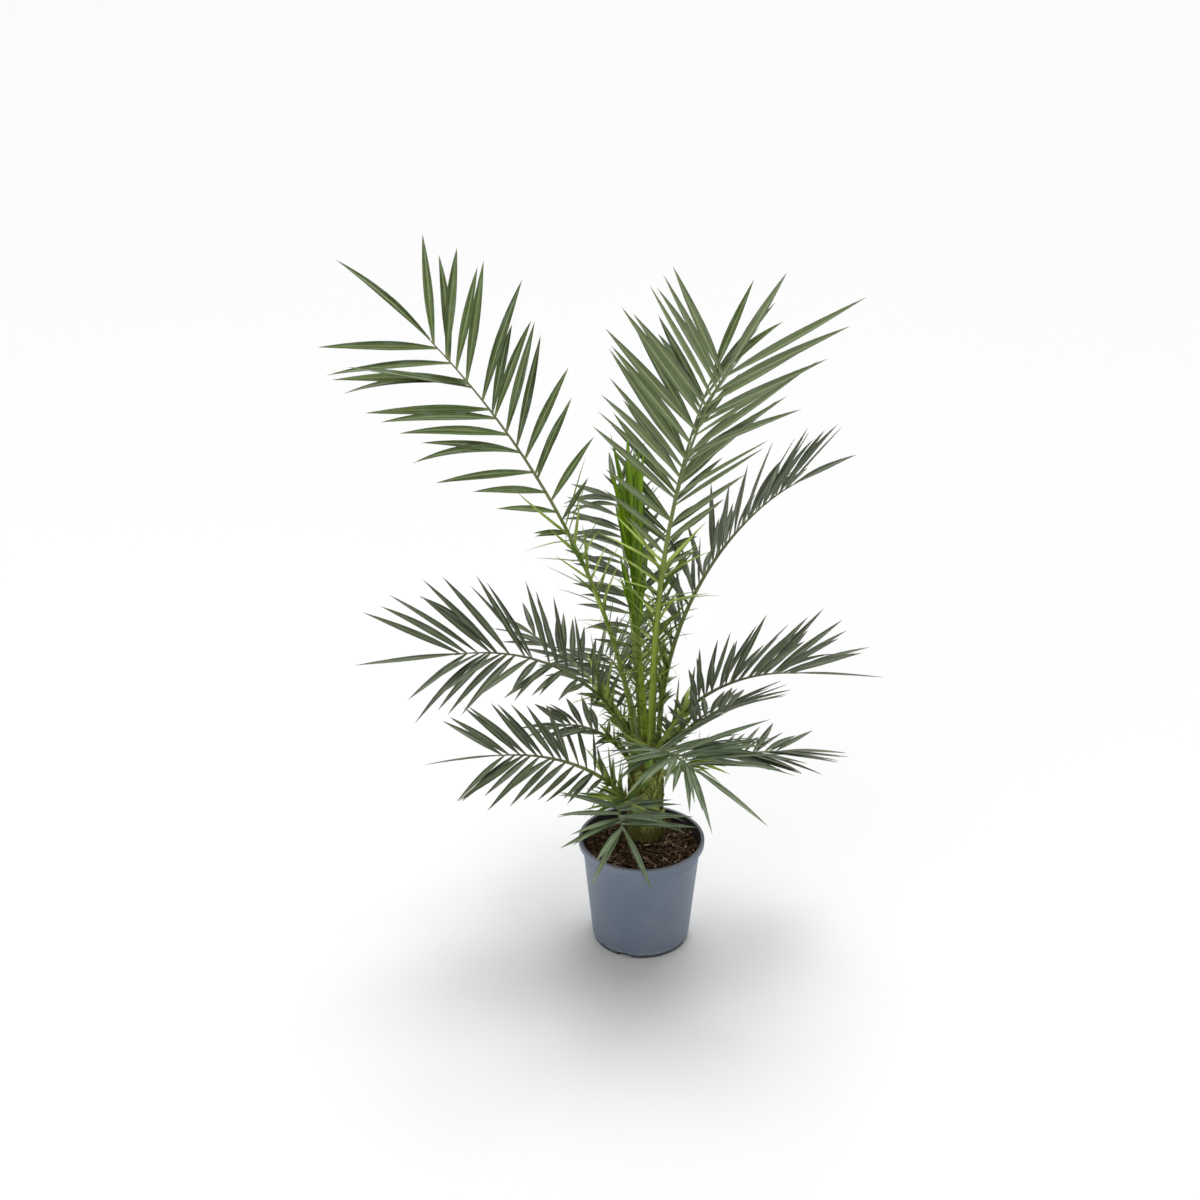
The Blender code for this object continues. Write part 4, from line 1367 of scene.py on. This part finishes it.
    def rib(self, habit: Habit) -> tuple[np.ndarray, list[tuple[int, ...]], np.ndarray, np.ndarray]:
        """Return the rib's points and faces, and each point's place along and across it."""
        points, _, side, up = self.path(habit)
        shares = np.linspace(0, 1, habit.stations) ** 1.2
        middle = self.sample(points, shares)
        aside = self.sample(side, shares)
        above = unit(self.sample(up, shares))
        half = habit.foot_half_width * (1 - shares) ** habit.taper + habit.tip_half_width
        flare = habit.sheath * np.clip(1 - shares / habit.sheath_share, 0, 1) ** 1.5
        depth = half * habit.depth_share
        section = ((1.0, 0.30), (0.86, 0.48), (0.45, 0.42), (0.0, 0.34), (-0.45, 0.42), (-0.86, 0.48),
                   (-1.0, 0.30), (-0.93, -0.12), (-0.62, -0.66), (0.0, -1.0), (0.62, -0.66), (0.93, -0.12))
        rows = [middle + aside * ((half + flare) * out)[:, None] + above * (depth * rise)[:, None]
                for out, rise in section]
        verts = np.stack(rows, axis=1).reshape(-1, 3)
        sides = len(section)
        last = sides * (habit.stations - 1)
        faces = [tuple(reversed(range(sides))), tuple(range(last, last + sides))]
        for row, col in itertools.product(range(habit.stations - 1), range(sides)):
            here = sides * row + col
            after = sides * row + (col + 1) % sides
            faces.append((here, after, after + sides, here + sides))
        return verts, faces, np.repeat(shares, sides), np.tile([out for out, _ in section], habit.stations)


FRONDS = (
    Frond("frond_high_left", Kind.YOUNG, 160, 0.385, 0.88, 84, 42, 0.9, 0, 0.50, 12, 0.235, 15, 48, 0.10, 1),
    Frond("frond_high_right", Kind.YOUNG, 295, 0.380, 0.87, 90, 50, 1.5, 5, 0.46, 14, 0.24, 15, 25, 0.00, 2),
    Frond("frond_high_back", Kind.YOUNG, 60, 0.370, 0.74, 90, 50, 1.6, -8, 0.42, 10, 0.20, 25, 10, 0.02, 3),
    Frond("spear", Kind.SPEAR, 115, 0.400, 0.42, 80, 82, 1.0, 0, 0.45, 10, 0.18, 5, 0, 0.00, 4),
    Frond("frond_upper_right", Kind.OLD, 24, 0.360, 0.64, 90, 8, 1.5, 16, 0.28, 15, 0.17, 30, 50, 0.06, 25),
    Frond("frond_upper_back", Kind.OLD, 100, 0.355, 0.58, 70, 15, 1.2, -5, 0.28, 10, 0.16, 10, 35, 0.08, 6),
    Frond("frond_middle_left", Kind.OLD, 198, 0.365, 0.47, 82, 0, 0.9, 0, 0.34, 12, 0.185, 25, 38, 0.05, 7),
    Frond("frond_back_left", Kind.OLD, 137, 0.375, 0.32, 65, 10, 0.6, 5, 0.20, 12, 0.10, 20, 10, 0.04, 8),
    Frond("frond_middle_right", Kind.OLD, 348, 0.380, 0.34, 72, 2, 1.0, 0, 0.28, 14, 0.16, 45, 10, 0.05, 9),
    Frond("frond_front_right", Kind.OLD, 325, 0.370, 0.22, 60, 30, 1.0, 5, 0.25, 11, 0.14, 15, 25, 0.05, 10),
    Frond("frond_front_low_right", Kind.FRONT, 278, 0.36, 0.21, 66, -15, 1, 40, 0.35, 9, 0.18, 20, 0, 0.08, 11),
    Frond("frond_inner_left", Kind.OLD, 158, 0.340, 0.17, 70, -10, 0.8, 10, 0.40, 7, 0.09, 15, 10, 0.08, 12),
    Frond("frond_low_back", Kind.OLD, 100, 0.300, 0.35, 60, -20, 1.3, 15, 0.22, 12, 0.16, 10, 15, 0.04, 13),
    Frond("frond_low_right", Kind.OLD, 15, 0.325, 0.25, 15, -8, 1.0, 0, 0.30, 12, 0.14, 5, 5, 0.05, 14),
    Frond("frond_low_left", Kind.OLD, 190, 0.265, 0.30, 62, 0, 0.8, 0, 0.22, 13, 0.14, 5, 45, 0.04, 15),
    Frond("frond_low_front", Kind.FRONT, 236, 0.285, 0.16, 35, -15, 1.0, 55, 0.40, 7, 0.16, 30, 0, 0.05, 16),
)



@dataclass
class Crown:
    """All the fronds, joined by what they are: leaflets, ribs and spines of each kind."""

    habit: Habit
    fronds: Sequence[Frond]
    reach: tuple[Vector, Vector]
    stations: int = 15
    filaments: int = 130

    SLOTS = {Kind.YOUNG: Slot.YOUNG, Kind.OLD: Slot.OLD, Kind.FRONT: Slot.OLD, Kind.SPEAR: Slot.SPEAR}

    def _limbs(self) -> dict[str, BVHTree]:
        """Return a search tree over each rib, the trunk, the pot and the soil."""
        trees = {}
        for frond in self.fronds:
            verts, faces, _, _ = frond.rib(self.habit)
            trees[frond.name] = BVHTree.FromPolygons([Vector(vert) for vert in verts], faces)
        for name in ("trunk", "pot", "soil"):
            mesh = bpy.data.objects[name].data
            trees[name] = BVHTree.FromPolygons([vert.co.copy() for vert in mesh.vertices],
                                               [tuple(face.vertices) for face in mesh.polygons])
        return trees

    def _meets(self, laid: Mapping[str, np.ndarray], index: int, limbs: Sequence[BVHTree]) -> bool:
        """Tell whether a leaflet would touch a limb or leave the plant's space."""
        root = laid["root"][index]
        length, width, _ = laid["size"][index]
        broad = laid["face"][index] * (width / 2 + self.habit.clearance)
        spots = []
        for share in (0.0, 0.3, 0.65, 0.97):
            spot = root + laid["aim"][index] * length * share
            spot[2] -= laid["sag"][index] * length * share * share
            spots.append(spot)
        low, high = self.reach
        if any(spots[-1][axis] < low[axis] or spots[-1][axis] > high[axis] for axis in range(3)):
            return True
        verts = [Vector(spot + broad * side) for spot in spots for side in (1, -1)]
        faces = [(2 * row, 2 * row + 1, 2 * row + 3, 2 * row + 2) for row in range(len(spots) - 1)]
        strip = BVHTree.FromPolygons(verts, faces)
        return any(strip.overlap(limb) for limb in limbs)

    def _clear_leaflets(self, frond: Frond, limbs: Mapping[str, BVHTree],
                        end: bool = True) -> dict[str, np.ndarray]:
        """Return a frond's leaflets turned clear of the limbs, without those that can't be.

        Args:
            frond: The frond.
            limbs: What they must not touch.
            end: Whether the leaflet at the rib's end is kept.

        Returns:
            The leaflets, laid out.
        """
        others = [tree for name, tree in limbs.items() if name != frond.name]
        count = 2 * frond.pairs + 1
        choice = np.zeros(count, dtype=int)
        for _ in self.habit.nudges:
            laid = frond.leaflets(self.habit, np.array([self.habit.nudges[pick] for pick in choice]))
            met = np.array([self._meets(laid, index, others) for index in range(count)])
            if not met.any():
                break
            choice = np.minimum(choice + met, len(self.habit.nudges) - 1)
        met[-1] |= not end
        return {name: values[~met] for name, values in laid.items()}

    def _finer(self, frond: Frond) -> Frond:
        """Return the frond whose leaflets fill the spaces between those of the source."""
        wanted = frond.length * (1 - frond.petiole) / BUILDS[frond.kind].spacing
        pairs = max(1, round(wanted) - frond.pairs)
        return replace(frond, seed=frond.seed + self.habit.filler_seed, pairs=pairs,
                       droop=frond.droop * 2 + self.habit.filler_droop)

    def _clear_spines(self, frond: Frond, limbs: Mapping[str, BVHTree]) -> dict[str, np.ndarray]:
        """Return a frond's spines without those that would touch a limb."""
        others = [tree for name, tree in limbs.items() if name != frond.name]
        laid = frond.spines(self.habit)
        clear = np.array([not self._meets(laid, index, others) for index in range(len(laid["root"]))])
        return {name: values[clear] for name, values in laid.items()}

    @staticmethod
    def _points(name: str, parts: Sequence[Mapping[str, np.ndarray]], seed: int) -> bpy.types.Object:
        """Join laid out parts into one object of points for a grower."""
        joined = {key: np.concatenate([part[key] for part in parts]) for key in parts[0]}
        points = Piece.mesh(name, joined.pop("root"))
        for key, values in joined.items():
            Piece.store(points, key, values)
        return points

    def _ribs(self, kind: Kind, fronds: Sequence[Frond]) -> bpy.types.Object:
        """Return the ribs of one kind, joined."""
        verts = []
        faces = []
        along = []
        across = []
        tone = []
        for frond in fronds:
            points, sides, share, aside = frond.rib(self.habit)
            faces += [tuple(corner + len(verts) for corner in side) for side in sides]
            verts += list(points)
            along += list(share)
            across += list(aside)
            tone += [np.random.RandomState(frond.seed).uniform()] * len(points)
        ribs = Piece.mesh(f"{kind.value}_ribs", verts, faces)
        Piece.outward(ribs)
        for name, values in (("along", along), ("across", across), ("tone", tone)):
            Piece.store(ribs, name, np.array(values))
        return ribs

    def _filament_lines(self) -> bpy.types.Object:
        """Return the chains that loose threads follow among the ribs low in the crown."""
        dice = np.random.RandomState(88)
        verts = []
        edges = []
        thickness = []
        tall = [frond for frond in self.fronds if frond.kind is not Kind.OLD]
        for index in range(self.filaments):
            frond = tall[index % len(tall)]
            points, _, side, up = frond.path(self.habit)
            share = np.array([frond.petiole * dice.uniform(0.35, 1.05)])
            spot = frond.sample(points, share)[0]
            heading = unit(frond.sample(side, share)[0] * dice.choice((-1, 1)) + dice.normal(0, 0.5, 3))
            count = dice.randint(7, 13)
            start = len(verts)
            for step in range(count):
                verts.append(tuple(spot))
                thickness.append(1 - 0.7 * step / (count - 1))
                heading = unit(heading + dice.normal(0, 0.22, 3) - (0.0, 0.0, 0.10))
                spot = spot + heading * 0.0065
            edges += [(start + step, start + step + 1) for step in range(count - 1)]
        lines = Piece.mesh("crown_filaments", verts, edges=edges)
        Piece.store(lines, "thickness", np.array(thickness))
        return lines

    def build(self, patterns: Pattern) -> None:
        """Build and dress every frond.

        Args:
            patterns: The maker of repeated shapes.
        """
        limbs = self._limbs()
        sprouts = Grower("sprouting").sprouts()
        leaflet = patterns.leaflet(self.stations, 0.42, 0.24)
        spine = patterns.spike(4, ((0.0, 0.6), (0.18, 1.0), (0.45, 0.9), (0.75, 0.5)))
        leaves = {
            Kind.YOUNG: LeafletFinish("young_leaflet", 0.46, 0.35, deep=shade("1e2e0a"), light=shade("748a46"),
                                      under=shade("728058"), rib=shade("9ca874")),
            Kind.OLD: LeafletFinish("old_leaflet", 0.48, 0.35, deep=shade("1a2112"), light=shade("687456"),
                                    under=shade("666e5b"), rib=shade("858d6b"), bloom=shade("828a7d"),
                                    bloom_share=0.35),
            Kind.FRONT: LeafletFinish("front_leaflet", 0.46, 0.35, deep=shade("3a4d2e"), light=shade("8a9a74"),
                                      under=shade("8a987c"), rib=shade("a6b48e"), bloom_share=0.50,
                                      olive_share=0.2),
            Kind.SPEAR: LeafletFinish("spear_leaflet", 0.44, 0.25, deep=shade("4a7004"), light=shade("9cc412"),
                                      under=shade("557a10"), rib=shade("93ab40"), bloom_share=0.0,
                                      olive_share=0.0),
        }
        stalks = {
            Kind.YOUNG: StalkFinish("young_stalk", 0.48, 0.35, deep=shade("647e20"), light=shade("aac046")),
            Kind.OLD: StalkFinish("old_stalk", 0.52, 0.35, deep=shade("4e5e20"), light=shade("8fa04a")),
            Kind.FRONT: StalkFinish("front_stalk", 0.50, 0.4, deep=shade("62822a"), light=shade("9cba56")),
            Kind.SPEAR: StalkFinish("spear_stalk", 0.46, 0.35, deep=shade("708e20"), light=shade("b0c848")),
        }
        thorn = TonedFinish("spine", 0.55, 0.3, deep=shade("4a6420"), light=shade("a8ba5a"))
        for kind in Kind:
            fronds = [frond for frond in self.fronds if frond.kind is kind]
            parts = []
            for frond in fronds:
                dice = np.random.RandomState(frond.seed + self.habit.spray_seed)
                spray = dice.uniform(0.2, 0.8)
                for laid in (self._clear_leaflets(frond, limbs),
                             self._clear_leaflets(self._finer(frond), limbs, False)):
                    laid["tone"] = np.clip(spray + dice.normal(0, 0.26, len(laid["root"])), 0, 1)
                    parts.append(laid)
            points = self._points(f"{kind.value}_leaflets", parts, 1)
            names = [frond.name for frond in fronds]
            Piece.finish(sprouts.grow(points, leaves[kind], Pattern=leaflet), leaves[kind],
                         self.SLOTS[kind], names, 38.0)
            Piece.finish(self._ribs(kind, fronds), stalks[kind], self.SLOTS[kind], names, 50.0)
            spines = [self._clear_spines(frond, limbs) for frond in fronds]
            for part, frond in zip(spines, fronds):
                part["tone"] = np.random.RandomState(frond.seed + 3).uniform(0, 1, len(part["root"]))
            points = self._points(f"{kind.value}_spines", spines, 2)
            Piece.finish(sprouts.grow(points, thorn, Pattern=spine), thorn, self.SLOTS[kind], (), 60.0)
        threads = Grower("filament_lines").threads(4).grow(
            self._filament_lines(), thorn, Radius=0.0006)
        Piece.finish(threads, thorn, Slot.YOUNG, ())


@dataclass
class Studio:
    """A pale floor, soft light from all round, a soft key from behind and the camera."""

    floor_side: float = 120.0
    camera_at: tuple[float, float, float] = (-0.079, -2.89, 2.0)
    pitch_down: float = 24.1
    focal_pixels: float = 1770.0
    image_pixels: float = 1200.0
    sensor: float = 36.0
    surround: float = 0.36
    horizon: tuple[float, float] = (0.08, 0.30)
    sun_power: float = 2.62
    sun_width: float = 40.0
    sun_from: tuple[float, float, float] = (0.3, 0.9, 2.4)
    fill_power: float = 24.0

    def _floor(self) -> None:
        """Lay the floor."""
        half = self.floor_side / 2
        floor = Piece.mesh("studio_floor", [(-half, -half, 0), (half, -half, 0), (half, half, 0), (-half, half, 0)],
                           [(0, 1, 2, 3)])
        made = bpy.data.materials.new("studio_floor")
        made.use_nodes = True
        shader = made.node_tree.nodes["Principled BSDF"]
        shader.inputs["Base Color"].default_value = (0.84, 0.84, 0.84, 1.0)
        shader.inputs["Roughness"].default_value = 0.9
        shader.inputs["Specular IOR Level"].default_value = 0.1
        floor.data.materials.append(made)
        floor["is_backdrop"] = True

    @staticmethod
    def _lamp(name: str, power: float, side: float, at: Sequence[float], target: Sequence[float]) -> None:
        """Hang a square soft light that points at a target."""
        data = bpy.data.lights.new(name, "AREA")
        data.energy = power
        data.size = side
        lamp = bpy.data.objects.new(name, data)
        bpy.context.scene.collection.objects.link(lamp)
        lamp.location = at
        lamp.rotation_euler = (Vector(target) - Vector(at)).to_track_quat("-Z", "Y").to_euler()

    def _sun(self) -> None:
        """Hang a very soft light behind the plant, as strong all over the floor."""
        data = bpy.data.lights.new("key_light", "SUN")
        data.energy = self.sun_power
        data.angle = math.radians(self.sun_width)
        lamp = bpy.data.objects.new("key_light", data)
        bpy.context.scene.collection.objects.link(lamp)
        lamp.location = self.sun_from
        lamp.rotation_euler = (-Vector(self.sun_from)).to_track_quat("-Z", "Y").to_euler()

    def _surround(self) -> None:
        """Fill the world with light, white at the horizon like the floor and dimmer overhead."""
        world = bpy.data.worlds.new("studio")
        world.use_nodes = True
        back = world.node_tree.nodes["Background"]
        graph = Graph(world.node_tree)
        facing = graph.value("ShaderNodeTexCoord", output="Generated")
        height = graph.value("ShaderNodeSeparateXYZ", sockets={0: facing}, output="Z")
        overhead = (self.surround, self.surround, self.surround, 1.0)
        colour = graph.blend(height.step(*self.horizon), (1.0, 1.0, 1.0, 1.0), overhead)
        world.node_tree.links.new(colour.socket, back.inputs["Color"])
        bpy.context.scene.world = world

    def _camera(self) -> None:
        """Set the camera at the photograph's angle."""
        data = bpy.data.cameras.new("camera")
        data.sensor_width = self.sensor
        data.lens = self.focal_pixels / self.image_pixels * self.sensor
        data.clip_end = 200.0
        camera = bpy.data.objects.new("camera", data)
        bpy.context.scene.collection.objects.link(camera)
        camera.location = self.camera_at
        camera.rotation_euler = (math.radians(90 - self.pitch_down), 0.0, 0.0)
        bpy.context.scene.camera = camera

    def build(self) -> None:
        """Set up the floor, the lights and the camera."""
        self._floor()
        self._surround()
        self._camera()
        self._sun()
        self._lamp("front_fill", self.fill_power, 2.6, (-1.8, -2.6, 3.0), (0.0, 0.0, 0.7))
        bpy.context.scene.view_settings.view_transform = "Standard"


def corners(box: Sequence[Vector]) -> list[list[float]]:
    """Return a box's two corners as plain lists."""
    return [[float(number) for number in corner] for corner in box]


def main() -> None:
    """Build the palm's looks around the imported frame."""
    logging.basicConfig(level=logging.INFO, format="%(name)s: %(message)s")
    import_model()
    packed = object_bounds()
    for obj in [found for found in bpy.data.objects if found.name in ("Cube", "Light", "Camera")]:
        bpy.data.objects.remove(obj, do_unlink=True)
    Studio().build()
    patterns = Pattern()
    habit = Habit()
    Crown(habit, FRONDS, packed).build(patterns)
    habit.trunk.build(patterns)
    Soil(habit.trunk.axis).build(patterns)
    Pot().build()
    patterns.clear()


if __name__ == "__main__":
    main()
